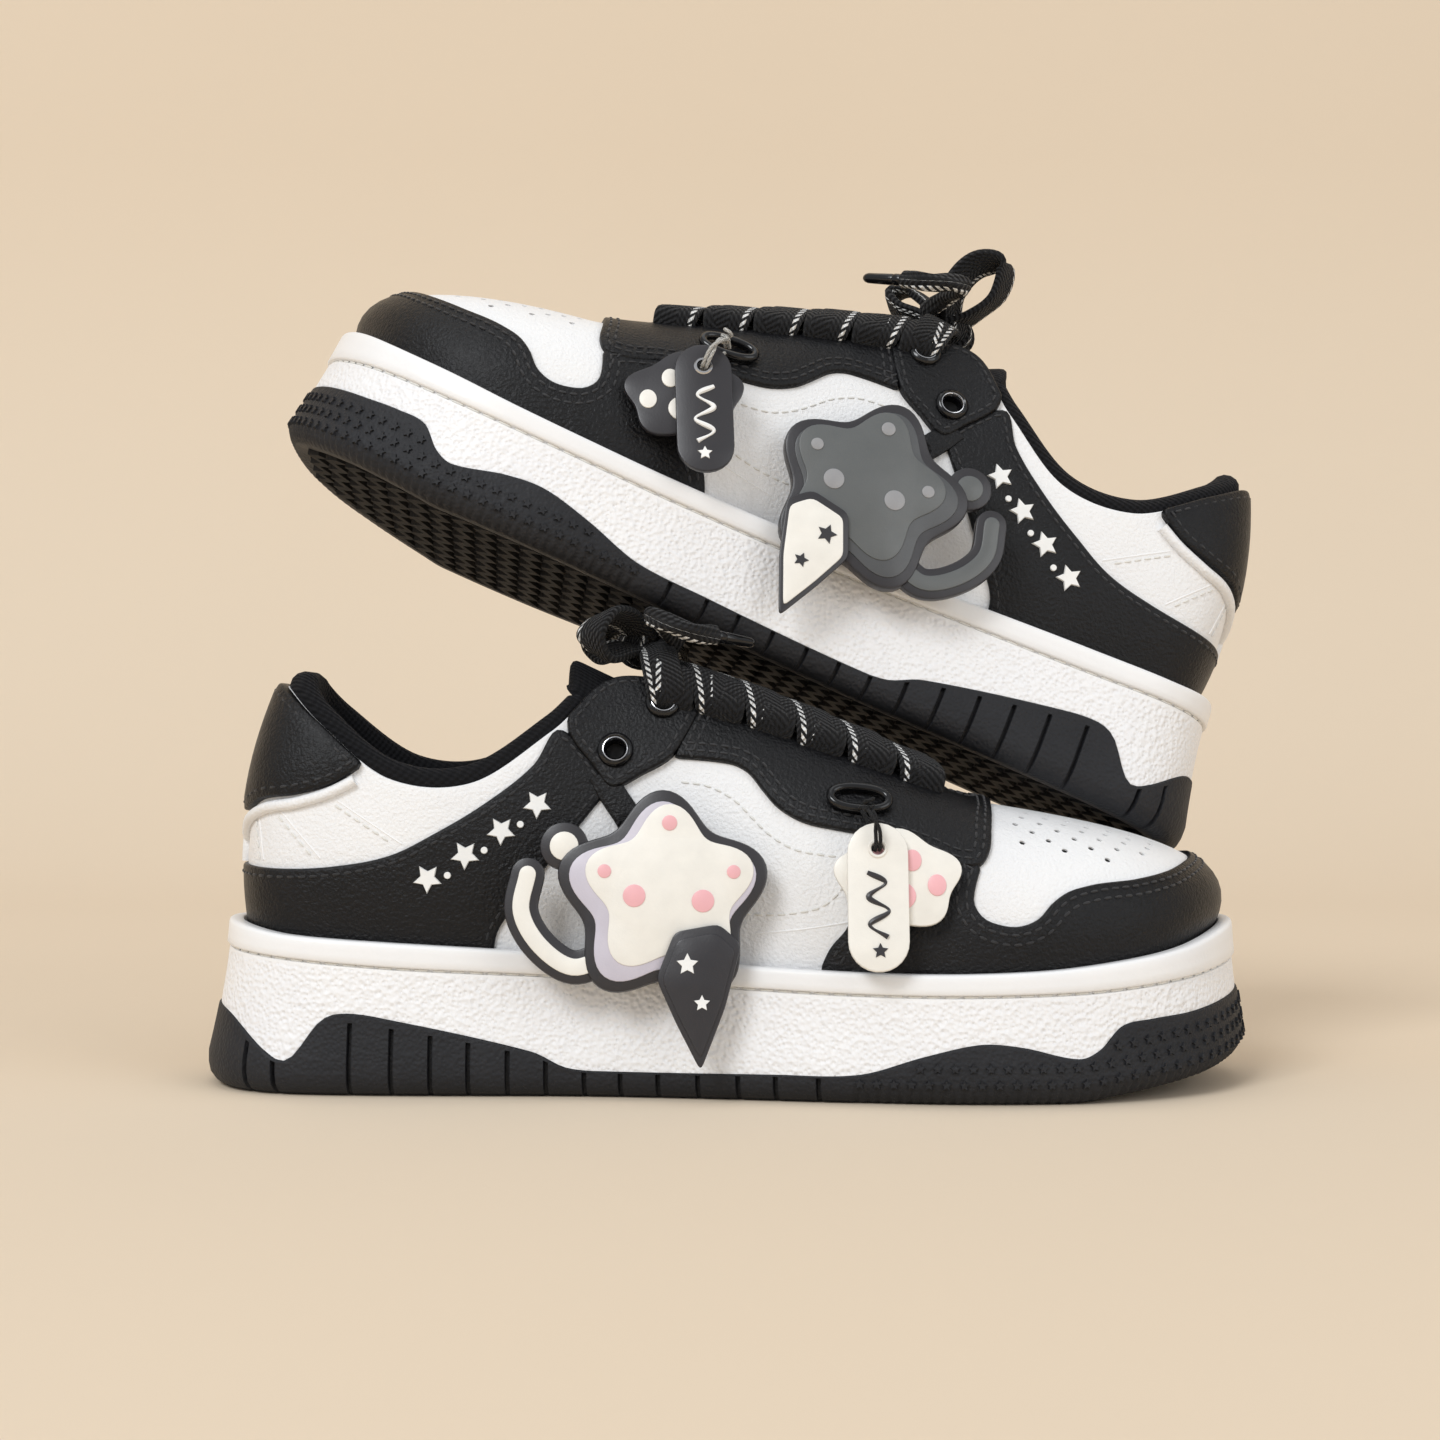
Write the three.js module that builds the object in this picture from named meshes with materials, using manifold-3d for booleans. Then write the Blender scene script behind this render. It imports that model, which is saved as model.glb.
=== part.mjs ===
// A pair of low-top cheer shoes: the right one stands on the floor with its toe towards +X
// and its outer side towards -Y, and the left one leans on it with its toe up and towards -X.
// Millimetres, +Z up, origin on the flat tread at the middle of the right shoe's length.
import * as THREE from 'three';
import { mergeVertices } from 'three/addons/utils/BufferGeometryUtils.js';
import Module from 'manifold-3d';

const wasm = await Module();
wasm.setup();

// ---- Driving dimensions ----
const shoeLength = 275;
const shoeWidth = 101;
const heelHeight = 107;
const clearance = 0.3;

const cupWall = 3;
const outsoleWall = 2.5;
const outsoleFloor = 5;
const treadCorner = 5;
const flareFoot = 8;
const boardThickness = 2;
const linerThickness = 3.5;
const liningRoom = 2.4;
const lastingEase = 0.5;
const footGap = 1.2;

const leather = 1.4;
const overlayLeather = 1.2;
const vampSeam = 0.5;
const tabLeather = 2.1;
const collarPad = 6;
const collarRise = 6;
const counterThickness = 1.3;
const counterTopAt = [-126, 56];
const tonguePad = 8;
const tongueFall = 0.028;

const laceWidth = 8;
const laceThickness = 1.8;
const tailWidth = 5;
const tailThickness = 4;
const laceRows = 6;
const laceReach = 15;
const firstRowX = 46;
const lastRowX = -18;
const knotX = -22;
const throatHalf = 11;
const laceLift = 4.8;
const laceSlope = 0.32;
const laceBend = 0.006;
const agletLength = 12;
const agletRadius = 1.6;

const eyeletRadius = 4.4;
const barrelRadius = 2.6;
const eyeletBore = 1.9;
const flangeThickness = 0.9;
const flangeGap = 0.5;

const ringLength = 17;
const ringWidth = 9;
const ringRod = 2.4;
const tagWidth = 15;
const tagLength = 37;
const charmThickness = 1.8;
const charmHole = 1.6;
const cordDiameter = 1.6;
const badgeRadius = 27;
const badgeThickness = 4;
const strapRadius = 3;
const strapAt = [-9, 19];
const pennantLength = 30;
const pennantWidth = 15;

// How the left shoe leans on the right one.
const toeUp = 23.7;
const leanSideways = -6.6;
const yaw = 5.3;
const leftX = -2.8;
const leftY = 32.3;

const columns = 52;

// ---- Grading: the pattern below is drawn for a 275 x 101 x 107 mm shoe ----
const grade = new THREE.Vector3(shoeLength / 275, shoeWidth / 101, heelHeight / 107);
const UP = new THREE.Vector3(0, 0, 1);

// From the heel along one side to the toe, each row has the cup's lip on the lateral side, the
// same station on the medial side, the upper's top edge (x, |y|, z), how far the leather swells
// out and up above the lip, and how its upper half leaves the top edge (share of the way back
// to the lip, drop).
const stationRows = [
  [[-131.5, 0], [-131.5, 0], [-115.5, 0, 103], [3, 20], [0.85, 22]],
  [[-126, -20], [-126, 19], [-113.5, 12, 101.5], [3, 20], [0.9, 20]],
  [[-112, -31], [-112, 29.5], [-105, 20.5, 93], [2.5, 18], [1, 18]],
  [[-88, -34.3], [-88, 32.5], [-87, 26.5, 79.3], [2, 14], [1.2, 12]],
  [[-64, -35], [-64, 31.4], [-66, 27, 78.2], [1.5, 14], [1.2, 12]],
  [[-42, -35.3], [-42, 30.8], [-46, 23.5, 91.2], [0.5, 22], [0.7, 16]],
  [[-22, -37.2], [-22, 31], [-30, 16, 104], [0, 32], [0.5, 16]],
  [[2, -41], [2, 34], [-5, 14, 98.5], [0, 30], [0.55, 11]],
  [[30, -46.3], [30, 39], [24, 13, 87.5], [0.5, 26], [0.6, 9]],
  [[60, -50], [60, 45], [49, 12, 76.5], [1, 22], [0.63, 6]],
  [[90, -47.5], [88, 44.5], [56, 9.5, 73.3], [2, 17], [0.75, 9]],
  [[113, -36], [112, 39], [57.3, 5.5, 72.7], [4, 15], [0.87, 9]],
  [[127, -17], [128, 26], [57.5, 2.6, 72.5], [6.5, 13.5], [0.91, 9]],
  [[132.5, 5], [132.5, 5], [57.6, 0, 72.4], [7.8, 13], [0.924, 9]],
];

// ---- Side-view lines, as (x, z) points of the pattern ----
const lipLine = [
  [-140, 43.5], [-131, 42.7], [-112, 39.9], [-62, 36.8], [4, 33.1], [43, 31.7], [75, 32.4], [98, 34.7],
  [114, 37.2], [131, 41.7], [140, 43.5],
];
const trayLine = [
  [-140, 21.5], [-132.7, 20.8], [-125.5, 18.8], [-114.5, 9.6], [-110.2, 8.9], [-103.5, 18], [-98, 20.3],
  [-86.4, 19], [-49.9, 11.1], [-41, 7.2], [-30, 6.4], [12, 6.5], [31.9, 7], [47.6, 11.6], [61, 14.6],
  [71.2, 13.9], [84.9, 11], [90, 13], [95.9, 18.6], [104, 20], [114.2, 20.9], [126.7, 23], [140, 26],
];
const treadLine = [[-140, 0], [85, 0], [92, 0.85], [109, 3.3], [124, 5.8], [133, 9], [140, 17]];
const floorLine = [[-140, 22], [-100, 21], [-60, 18], [40, 13], [90, 15], [140, 23]];
const flareLine = [[-140, 6], [-130, 5.5], [-105, 3.5], [0, 3], [100, 2.5], [125, 3.5], [140, 4.5]];

const toeGuardPanel = [
  [22, 0], [22.8, 33], [28.9, 42.1], [32.6, 63.4], [58.4, 55.2], [60.5, 52], [60, 47.6], [63.2, 44.3],
  [71.2, 42.9], [76, 44.7], [81.1, 49.7], [88.3, 51.8], [101.7, 53.1], [110.7, 54.5], [118, 56.4],
  [122, 59.3], [123, 80], [150, 80], [150, 0],
];
const foxingPanel = [
  [-150, 0], [-62, 0], [-60.3, 38], [-52.8, 49.3], [-31.6, 75.8], [-40.6, 87.6], [-43.6, 90.4], [-50.1, 82.8],
  [-62.6, 72.8], [-75.2, 65.3], [-85.1, 60.3], [-100.8, 57.1], [-114.8, 56.4], [-150, 57.2],
];
const eyestayPanel = [
  [-14.4, 83.9], [-3.6, 82.9], [4.2, 80.5], [11.2, 72], [16.8, 68.2], [27.4, 65.7], [33, 64], [59.2, 55.9],
  [66, 62], [67, 90], [20, 110], [-7, 112], [-7.4, 96],
];
const eyeletTabPanel = [[-30.4, 76.4], [-14.9, 84], [-8, 96.3], [-9, 110], [-34, 118], [-40, 88.6]];
const heelTabPanel = [
  [-150, 65.6], [-128.3, 65.6], [-120.1, 73.1], [-110, 75], [-100.8, 77.7], [-94.5, 81.5], [-103, 91.1],
  [-111.2, 102.2], [-112, 120], [-150, 120],
];
const vampPanel = [[44, 0], [56, 42], [60.5, 50], [60, 58], [52, 70], [50, 100], [150, 100], [150, 0]];

// The tongue from under the vamp to its free top: x, z of its outer face, half width, thickness.
const tongueSections = [
  [70, 59, 14, 0.35], [58, 65, 17, 0.5], [46, 73, 17.5, 0.7], [24, 84.5, 18, 1], [0, 94.5, 18, 1.1],
  [-24, 102.4, 17.5, 1.2], [-38, 110.5, 18, 1.2], [-46, 117, 17, 0.8],
];

// ---- Curves and surfaces ----

/** A smooth line through (x, z) points, read at x. */
function read(line, x) {
  const at = x / grade.x;
  let i = 0;
  while (i < line.length - 2 && at > line[i + 1][0]) i += 1;
  const slope = (k) => {
    const a = line[Math.max(k - 1, 0)];
    const b = line[Math.min(k + 1, line.length - 1)];
    return (b[1] - a[1]) / (b[0] - a[0]);
  };
  const step = line[i + 1][0] - line[i][0];
  const s = THREE.MathUtils.clamp((at - line[i][0]) / step, 0, 1);
  const h = s * s * (3 - 2 * s);
  const ends = line[i][1] * (1 - h) + line[i + 1][1] * h;
  const bends = step * (slope(i) * s * (1 - s) ** 2 - slope(i + 1) * s * s * (1 - s));
  return (ends + bends) * grade.z;
}

/** A point on the closed smooth curve through the points, u counting from point to point. */
function onRing(points, u) {
  const n = points.length;
  const i = Math.floor(u);
  const s = u - i;
  const [a, b, c, d] = [-1, 0, 1, 2].map((k) => points[(((i + k) % n) + n) % n]);
  const weights = [
    -0.5 * s + s * s - 0.5 * s ** 3,
    1 - 2.5 * s * s + 1.5 * s ** 3,
    0.5 * s + 2 * s * s - 1.5 * s ** 3,
    -0.5 * s * s + 0.5 * s ** 3,
  ];
  return new THREE.Vector3()
    .addScaledVector(a, weights[0])
    .addScaledVector(b, weights[1])
    .addScaledVector(c, weights[2])
    .addScaledVector(d, weights[3]);
}

/** Every station once round the shoe: the lateral side first, then back along the medial side. */
const stations = stationRows.map(([lateral, medial, edge, swell, shoulder]) => (
  { lateral, medial, edge, swell, shoulder }
));
const around = [
  ...stations.map((row) => ({ ...row, lip: row.lateral, side: -1 })),
  ...stations.slice(1, -1).reverse().map((row) => ({ ...row, lip: row.medial, side: 1 })),
];
const turns = around.length;
const lipRing = around.map(({ lip }) => new THREE.Vector3(lip[0], lip[1], 0).multiply(grade));

/** The sideways outward direction at u. */
function outward(u) {
  const along = onRing(lipRing, u + 0.05).sub(onRing(lipRing, u - 0.05));
  return new THREE.Vector3(along.y, -along.x, 0).normalize();
}

/** The cup's plan outline at u, moved outward. */
function plan(u, offset) {
  return onRing(lipRing, u).addScaledVector(outward(u), offset);
}

const overlayInner = leather + clearance;
const overlayOuter = overlayInner + overlayLeather;
const tabOuter = overlayInner + tabLeather;
const upperInset = cupWall + lastingEase + overlayOuter;

// Four rings carry the upper: where it leaves the cup, two handles, and its top edge.
const lipLevel = around.map((row, i) => {
  const p = plan(i, -upperInset);
  p.z = read(lipLine, p.x) + 1;
  return p;
});
const topEdge = around.map(({ edge: [x, y, z], side }) => new THREE.Vector3(x, side * y, z).multiply(grade));
const swellRing = around.map(({ swell }, i) => (
  lipLevel[i].clone().addScaledVector(outward(i), swell[0]).addScaledVector(UP, swell[1] * grade.z)
));
const shoulderRing = around.map(({ shoulder }, i) => {
  const p = topEdge[i].clone();
  p.x += (lipLevel[i].x - p.x) * shoulder[0];
  p.y += (lipLevel[i].y - p.y) * shoulder[0];
  p.z -= shoulder[1] * grade.z;
  return p;
});

/** The upper's inner face: t is -1 on the cup floor, 0 at the lip, 1 at the top edge, and above. */
function upper(u, t) {
  const a = onRing(lipLevel, u);
  if (t < 0) {
    const foot = read(floorLine, a.x) + footGap;
    a.z += t * (a.z - foot);
    return a;
  }
  const b = onRing(swellRing, u);
  const c = onRing(shoulderRing, u);
  const d = onRing(topEdge, u);
  const s = Math.min(t, 1);
  const p = new THREE.Vector3()
    .addScaledVector(a, (1 - s) ** 3)
    .addScaledVector(b, 3 * s * (1 - s) ** 2)
    .addScaledVector(c, 3 * s * s * (1 - s))
    .addScaledVector(d, s ** 3);
  const rise = d.sub(c).normalize();
  return p.addScaledVector(rise, (t - s) * 10 * collarRise);
}

/** The outward normal of the upper. */
function upperNormal(u, t) {
  const step = 0.02;
  const across = upper(u + step, t).sub(upper(u - step, t));
  const rising = upper(u, t + step).sub(upper(u, t - step));
  return across.cross(rising).normalize();
}

function onUpper(u, t, offset) {
  return upper(u, t).addScaledVector(upperNormal(u, t), offset);
}

/** The lateral (u, t) whose point lies at a side-view x and z. */
function locate(x, z) {
  let best = { u: 6.5, t: 0.5, miss: Infinity };
  let span = { u: 6.5, t: 0.5 };
  for (let round = 0; round < 6; round += 1) {
    const centre = best;
    for (let i = -10; i <= 10; i += 1) {
      for (let j = -10; j <= 10; j += 1) {
        const u = centre.u + (span.u * i) / 10;
        const t = THREE.MathUtils.clamp(centre.t + (span.t * j) / 10, -1, 1);
        const p = upper(u, t);
        const miss = Math.hypot(p.x - x * grade.x, p.z - z * grade.z);
        if (miss < best.miss) best = { u, t, miss };
      }
    }
    span = { u: span.u / 5, t: span.t / 5 };
  }
  return best;
}

// ---- Solids ----

function geometryOf(vertices, triangles) {
  const geometry = new THREE.BufferGeometry();
  const numbers = vertices.flatMap((v) => v.toArray());
  geometry.setAttribute('position', new THREE.Float32BufferAttribute(numbers, 3));
  geometry.setIndex(triangles.flat());
  return geometry;
}

function toSolid(geometry) {
  const bare = geometry.clone();
  bare.deleteAttribute('normal');
  bare.deleteAttribute('uv');
  const merged = mergeVertices(bare, 1e-4);
  return new wasm.Manifold(new wasm.Mesh({
    numProp: 3,
    vertProperties: new Float32Array(merged.attributes.position.array),
    triVerts: new Uint32Array(merged.index.array),
  }));
}

function toGeometry(solid) {
  const mesh = solid.getMesh();
  const geometry = new THREE.BufferGeometry();
  geometry.setAttribute('position', new THREE.BufferAttribute(mesh.vertProperties, mesh.numProp));
  geometry.setIndex(new THREE.BufferAttribute(mesh.triVerts, 1));
  return geometry;
}

/** Rings of equal count joined in order, closed by a ladder of triangles at both ends. */
function stack(rings) {
  const n = rings[0].length;
  const triangles = [];
  rings.slice(1).forEach((ring, r) => {
    for (let i = 0; i < n; i += 1) {
      const j = (i + 1) % n;
      const [a, b, c, d] = [r * n + i, r * n + j, (r + 1) * n + j, (r + 1) * n + i];
      triangles.push([a, b, c], [a, c, d]);
    }
  });
  const last = (rings.length - 1) * n;
  for (let k = 0; k < n / 2; k += 1) {
    const far = n - k - 1;
    const near = (n - k) % n;
    if (far !== k + 1) {
      triangles.push([far, k + 1, k], [last + k, last + k + 1, last + far]);
    }
    if (near !== k) {
      triangles.push([near, far, k], [last + k, last + far, last + near]);
    }
  }
  return geometryOf(rings.flat(), triangles);
}

/** A plan ring of the sole: offset and height are functions of u, or plain numbers. */
function soleRing(count, offset, height) {
  return Array.from({ length: count }, (_, i) => {
    const u = (i * turns) / count;
    const p = plan(u, typeof offset === 'function' ? offset(u) : offset);
    p.z = typeof height === 'function' ? height(p.x, u) : height;
    return p;
  });
}

/** A sheet of the upper between two offsets, all the way round or from one u to another. */
function shell({ from = 0, to = turns, across, rows, inner, outer }) {
  const closed = to - from === turns;
  const n = closed ? across : across + 1;
  const m = rows.length;
  const vertices = [];
  for (const offset of [outer, inner]) {
    for (const t of rows) {
      for (let i = 0; i < n; i += 1) {
        vertices.push(onUpper(from + ((to - from) * i) / across, t, offset));
      }
    }
  }
  const outerAt = (i, j) => j * n + (i % n);
  const innerAt = (i, j) => (m + j) * n + (i % n);
  const triangles = [];
  for (let i = 0; i < across; i += 1) {
    for (let j = 0; j < m - 1; j += 1) {
      triangles.push([outerAt(i, j), outerAt(i + 1, j), outerAt(i + 1, j + 1)]);
      triangles.push([outerAt(i, j), outerAt(i + 1, j + 1), outerAt(i, j + 1)]);
      triangles.push([innerAt(i, j), innerAt(i + 1, j + 1), innerAt(i + 1, j)]);
      triangles.push([innerAt(i, j), innerAt(i, j + 1), innerAt(i + 1, j + 1)]);
    }
    triangles.push([outerAt(i, 0), innerAt(i, 0), innerAt(i + 1, 0)]);
    triangles.push([outerAt(i, 0), innerAt(i + 1, 0), outerAt(i + 1, 0)]);
    triangles.push([outerAt(i, m - 1), innerAt(i + 1, m - 1), innerAt(i, m - 1)]);
    triangles.push([outerAt(i, m - 1), outerAt(i + 1, m - 1), innerAt(i + 1, m - 1)]);
  }
  if (!closed) {
    for (let j = 0; j < m - 1; j += 1) {
      triangles.push([outerAt(0, j), outerAt(0, j + 1), innerAt(0, j + 1)]);
      triangles.push([outerAt(0, j), innerAt(0, j + 1), innerAt(0, j)]);
      triangles.push([outerAt(across, j), innerAt(across, j + 1), outerAt(across, j + 1)]);
      triangles.push([outerAt(across, j), innerAt(across, j), innerAt(across, j + 1)]);
    }
  }
  return geometryOf(vertices, triangles);
}

/** A block whose side view is the outline, from one y to another. */
function sideBlock(outline, fromY = -90, toY = 90) {
  const shape = new THREE.Shape(outline.map(([x, z]) => new THREE.Vector2(x * grade.x, z * grade.z)));
  const block = new THREE.ExtrudeGeometry(shape, { depth: toY - fromY, bevelEnabled: false });
  return toSolid(block.rotateX(Math.PI / 2).translate(0, toY, 0));
}

/** A flat strip along a route; wide gives its sideways direction at each point. */
function strip(route, wide, width, thickness) {
  const n = route.length;
  const vertices = [];
  route.forEach((p, i) => {
    const along = route[Math.min(i + 1, n - 1)].clone().sub(route[Math.max(i - 1, 0)]).normalize();
    const side = wide[i].clone().addScaledVector(along, -wide[i].dot(along)).normalize();
    const face = new THREE.Vector3().crossVectors(along, side);
    for (const [a, b] of [[-0.5, -0.5], [0.5, -0.5], [0.5, 0.5], [-0.5, 0.5]]) {
      vertices.push(p.clone().addScaledVector(side, a * width).addScaledVector(face, b * thickness));
    }
  });
  const triangles = [];
  for (let i = 0; i < n - 1; i += 1) {
    for (let k = 0; k < 4; k += 1) {
      const [a, b] = [4 * i + k, 4 * i + ((k + 1) % 4)];
      triangles.push([a, b, b + 4], [a, b + 4, a + 4]);
    }
  }
  const end = 4 * (n - 1);
  triangles.push([0, 2, 1], [0, 3, 2], [end, end + 1, end + 2], [end, end + 2, end + 3]);
  return geometryOf(vertices, triangles);
}

/** Turns a geometry's +Z to a direction and moves it to a place. */
function aim(geometry, direction, place) {
  const turn = new THREE.Quaternion().setFromUnitVectors(UP, direction);
  return geometry.applyQuaternion(turn).translate(place.x, place.y, place.z);
}

// ---- Sole ----

/** How far the side wall stands outside the lip at a height. */
function wallOffset(u, z) {
  const p = onRing(lipRing, u);
  const lip = read(lipLine, p.x);
  const share = THREE.MathUtils.clamp((lip - z) / (lip - flareFoot * grade.z), 0, 1);
  return (read(flareLine, p.x) / grade.z) * share ** 1.5;
}

const trayAt = (u) => read(trayLine, onRing(lipRing, u).x);
const treadAt = (u) => read(treadLine, onRing(lipRing, u).x);

function outsole() {
  const wall = (u) => wallOffset(u, trayAt(u));
  const corner = (x, u) => treadAt(u) + Math.min(treadCorner, trayAt(u) - 1);
  return stack([
    soleRing(columns, (u) => wallOffset(u, treadCorner) - treadCorner, (x) => read(treadLine, x)),
    soleRing(columns, (u) => wallOffset(u, treadCorner), corner),
    soleRing(columns, wall, (x, u) => trayAt(u)),
    soleRing(columns, (u) => wall(u) - outsoleWall, (x, u) => trayAt(u)),
    soleRing(columns, (u) => wall(u) - outsoleWall, (x, u) => treadAt(u) + outsoleFloor),
  ]);
}

function cupsole() {
  const wall = (u) => wallOffset(u, trayAt(u));
  const inside = (u) => wall(u) - outsoleWall - clearance;
  const lip = (x) => read(lipLine, x);
  const middle = (u) => (trayAt(u) + 2 * lip(onRing(lipRing, u).x)) / 3;
  return stack([
    soleRing(columns, inside, (x, u) => treadAt(u) + outsoleFloor + clearance),
    soleRing(columns, inside, (x, u) => trayAt(u) + clearance),
    soleRing(columns, wall, (x, u) => trayAt(u) + clearance),
    soleRing(columns, (u) => wallOffset(u, middle(u)), (x, u) => middle(u)),
    soleRing(columns, 0, (x, u) => lip(onRing(lipRing, u).x)),
    soleRing(columns, -cupWall, (x, u) => lip(onRing(lipRing, u).x)),
    soleRing(columns, -cupWall, (x) => read(floorLine, x)),
  ]);
}

/** A sheet that lies in the cup, inside the upper. */
function footbed(bottom, thickness) {
  const inset = -(upperInset + counterThickness + liningRoom);
  return stack([
    soleRing(40, inset, (x) => read(floorLine, x) + bottom),
    soleRing(40, inset, (x) => read(floorLine, x) + bottom + thickness),
  ]);
}

// ---- Upper ----

const panelRows = [-1, 0, 0.15, 0.35, 0.65, 1];
const sheetOf = (inner, outer) => toSolid(shell({ across: columns, rows: panelRows, inner, outer }));
const baseShell = sheetOf(0, leather);
const overlayShell = sheetOf(overlayInner, overlayOuter);
const tabShell = sheetOf(overlayInner, tabOuter);

// The upper eyelet takes the lace, the lower one is empty.
const eyelets = [{ name: 'upper', at: [-17.8, 97] }, { name: 'lower', at: [-29.5, 85.6] }];
const holeDepth = 20;

/** Where an eyelet sits: the outer face of its tab and the way out. */
function eyeletSeat(at, side) {
  const { u, t } = locate(...at);
  const around = side < 0 ? u : turns - u;
  return { place: onUpper(around, t, tabOuter), out: upperNormal(around, t) };
}

function eyeletHole(at, side) {
  const { place, out } = eyeletSeat(at, side);
  const radius = barrelRadius + clearance;
  const hole = new THREE.CylinderGeometry(radius, radius, holeDepth, 12);
  return toSolid(aim(hole.rotateX(Math.PI / 2), out, place));
}

function eyelet(at, side) {
  const { place, out } = eyeletSeat(at, side);
  const profile = [
    [eyeletBore, -tabOuter], [barrelRadius, -tabOuter], [barrelRadius, flangeGap],
    [eyeletRadius, flangeGap], [eyeletRadius - 0.4, flangeGap + flangeThickness],
    [eyeletBore + 0.4, flangeGap + flangeThickness], [eyeletBore, -tabOuter],
  ];
  const ring = new THREE.LatheGeometry(profile.map(([r, h]) => new THREE.Vector2(r, h)), 10);
  return aim(ring.rotateX(Math.PI / 2), out, place);
}

const everywhere = [[-200, -10], [200, -10], [200, 200], [-200, 200]];
const lateralHalf = sideBlock(everywhere, -90, -clearance / 2);
const medialHalf = sideBlock(everywhere, clearance / 2, 90);

/** A panel of a shell, cut by a side-view outline and pierced for the eyelets of one side. */
function panel(sheet, outline, side = 0) {
  let cut = sheet.intersect(sideBlock(outline));
  if (side !== 0) {
    cut = cut.intersect(side < 0 ? lateralHalf : medialHalf);
    for (const { at } of eyelets) cut = cut.subtract(eyeletHole(at, side));
  }
  return toGeometry(cut);
}

/** One side of the upper behind the vamp, which it meets at a narrow seam. */
function quarter(side) {
  const front = sideBlock(vampPanel.map(([x, z]) => [x - vampSeam, z]));
  return panel(baseShell.subtract(front), everywhere, side);
}

/** The padded lining round the ankle, which stands above the leather's edge. */
function collar() {
  return shell({
    from: -5.2, to: 5.2, across: 18, rows: [0.62, 1, 1.1],
    inner: -collarPad - 0.4, outer: -2 * clearance,
  });
}

function heelCounter() {
  return shell({
    from: -2.5, to: 2.5, across: 10, rows: [-0.95, 0, locate(...counterTopAt).t],
    inner: -counterThickness - 2 * clearance, outer: -2 * clearance,
  });
}

/** A padded blade: its crowned outer face and an underside that bulges in the middle. */
function tongue() {
  const sides = [-1, -0.8, -0.4, 0, 0.4, 0.8, 1];
  const rings = tongueSections.map(([x, z, half, thick]) => {
    const point = (s, back, depth) => new THREE.Vector3(
      x * grade.x - back,
      s * half * grade.y,
      z * grade.z - tongueFall * (s * half) ** 2 - depth,
    );
    const outer = sides.map((s) => point(s, 0, 0));
    const inner = sides.slice(1, -1).reverse();
    return [...outer, ...inner.map((s) => point(s, 1, thick * tonguePad * (1 - 0.6 * s * s)))];
  });
  return stack(rings);
}

// ---- Laces ----

const throatLine = stationRows.slice(6, 10).map(([, , edge]) => [edge[0], edge[2]]);

/** The middle of the lace where it crosses over the throat at x and y. */
function laceHeight(x, y) {
  const beyond = Math.max(0, Math.abs(y) - throatHalf);
  const rise = overlayOuter + laceThickness + laceLift;
  return read(throatLine, x) + rise - laceSlope * beyond - laceBend * y * y;
}

/** One serpentine of flat braid, row after row from the toe end to the eyelets. */
function laceRoute() {
  const plan2d = [];
  const pitch = ((firstRowX - lastRowX) * grade.x) / (laceRows - 1);
  const turn = pitch / 2;
  for (let row = 0; row < laceRows; row += 1) {
    const x = firstRowX * grade.x - row * pitch;
    const way = row % 2 === 0 ? 1 : -1;
    for (const share of [-1, -0.4, 0.4, 1]) plan2d.push([x, way * share * laceReach]);
    if (row < laceRows - 1) {
      for (const angle of [60, 120]) {
        const a = THREE.MathUtils.degToRad(angle);
        plan2d.push([x - turn + turn * Math.cos(a), way * (laceReach + turn * Math.sin(a))]);
      }
    }
  }
  return plan2d.map(([x, y]) => new THREE.Vector3(x, y * grade.y, laceHeight(x, y)));
}

function sidewaysOf(route) {
  return route.map((p, i) => {
    const along = route[Math.min(i + 1, route.length - 1)].clone().sub(route[Math.max(i - 1, 0)]);
    return new THREE.Vector3(-along.y, along.x, 0).normalize();
  });
}

/** The bow: a knot and two loops of braid, standing on the last row. */
function lace(bow) {
  const route = laceRoute();
  const rows = toSolid(strip(route, sidewaysOf(route), laceWidth, laceThickness));
  const knotZ = laceHeight(knotX * grade.x, 0);
  const knot = new THREE.SphereGeometry(1, 10, 6).scale(7, 6.5, 5.5);
  let whole = rows.add(toSolid(knot.translate(knotX * grade.x, 0, knotZ + 2)));
  for (const loop of bow.loops) {
    const curve = new THREE.CatmullRomCurve3(loop.map(([x, y, z]) => (
      new THREE.Vector3(knotX * grade.x + x, y, knotZ + z)
    )));
    const points = curve.getPoints(11);
    const reach = points[5].clone().sub(points[0]);
    const wide = points.map(() => new THREE.Vector3(-reach.y, reach.x, 0).normalize());
    whole = whole.add(toSolid(strip(points, wide, tailWidth, laceThickness)));
  }
  return toGeometry(whole);
}

function tailCurve(tail) {
  const knotZ = laceHeight(knotX * grade.x, 0);
  const points = tail.map(([x, y, z]) => new THREE.Vector3(knotX * grade.x + x, y, knotZ + z));
  return new THREE.CatmullRomCurve3(points);
}

function laceTail(tail) {
  const points = tailCurve(tail).getPoints(12);
  return strip(points, points.map(() => new THREE.Vector3(0.5, 0.8, -0.6)), tailWidth, tailThickness);
}

function aglet(tail) {
  const curve = tailCurve(tail);
  const direction = curve.getTangent(1);
  const place = curve.getPoint(1).addScaledVector(direction, agletLength / 2 + clearance);
  const tip = new THREE.CylinderGeometry(agletRadius, agletRadius, agletLength, 8).rotateX(Math.PI / 2);
  return aim(tip, direction, place);
}

// ---- Charms ----

/** A flat charm in the X-Z plane, hole at the origin, hanging down, with its front towards -Y. */
function charm(shape, thickness, hole = 0) {
  if (hole > 0) {
    shape.holes.push(new THREE.Path().absarc(0, 0, hole, 0, 2 * Math.PI, true));
  }
  const plate = new THREE.ExtrudeGeometry(shape, { depth: thickness, bevelEnabled: false, curveSegments: 6 });
  return plate.rotateX(Math.PI / 2).translate(0, thickness / 2, 0);
}

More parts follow.
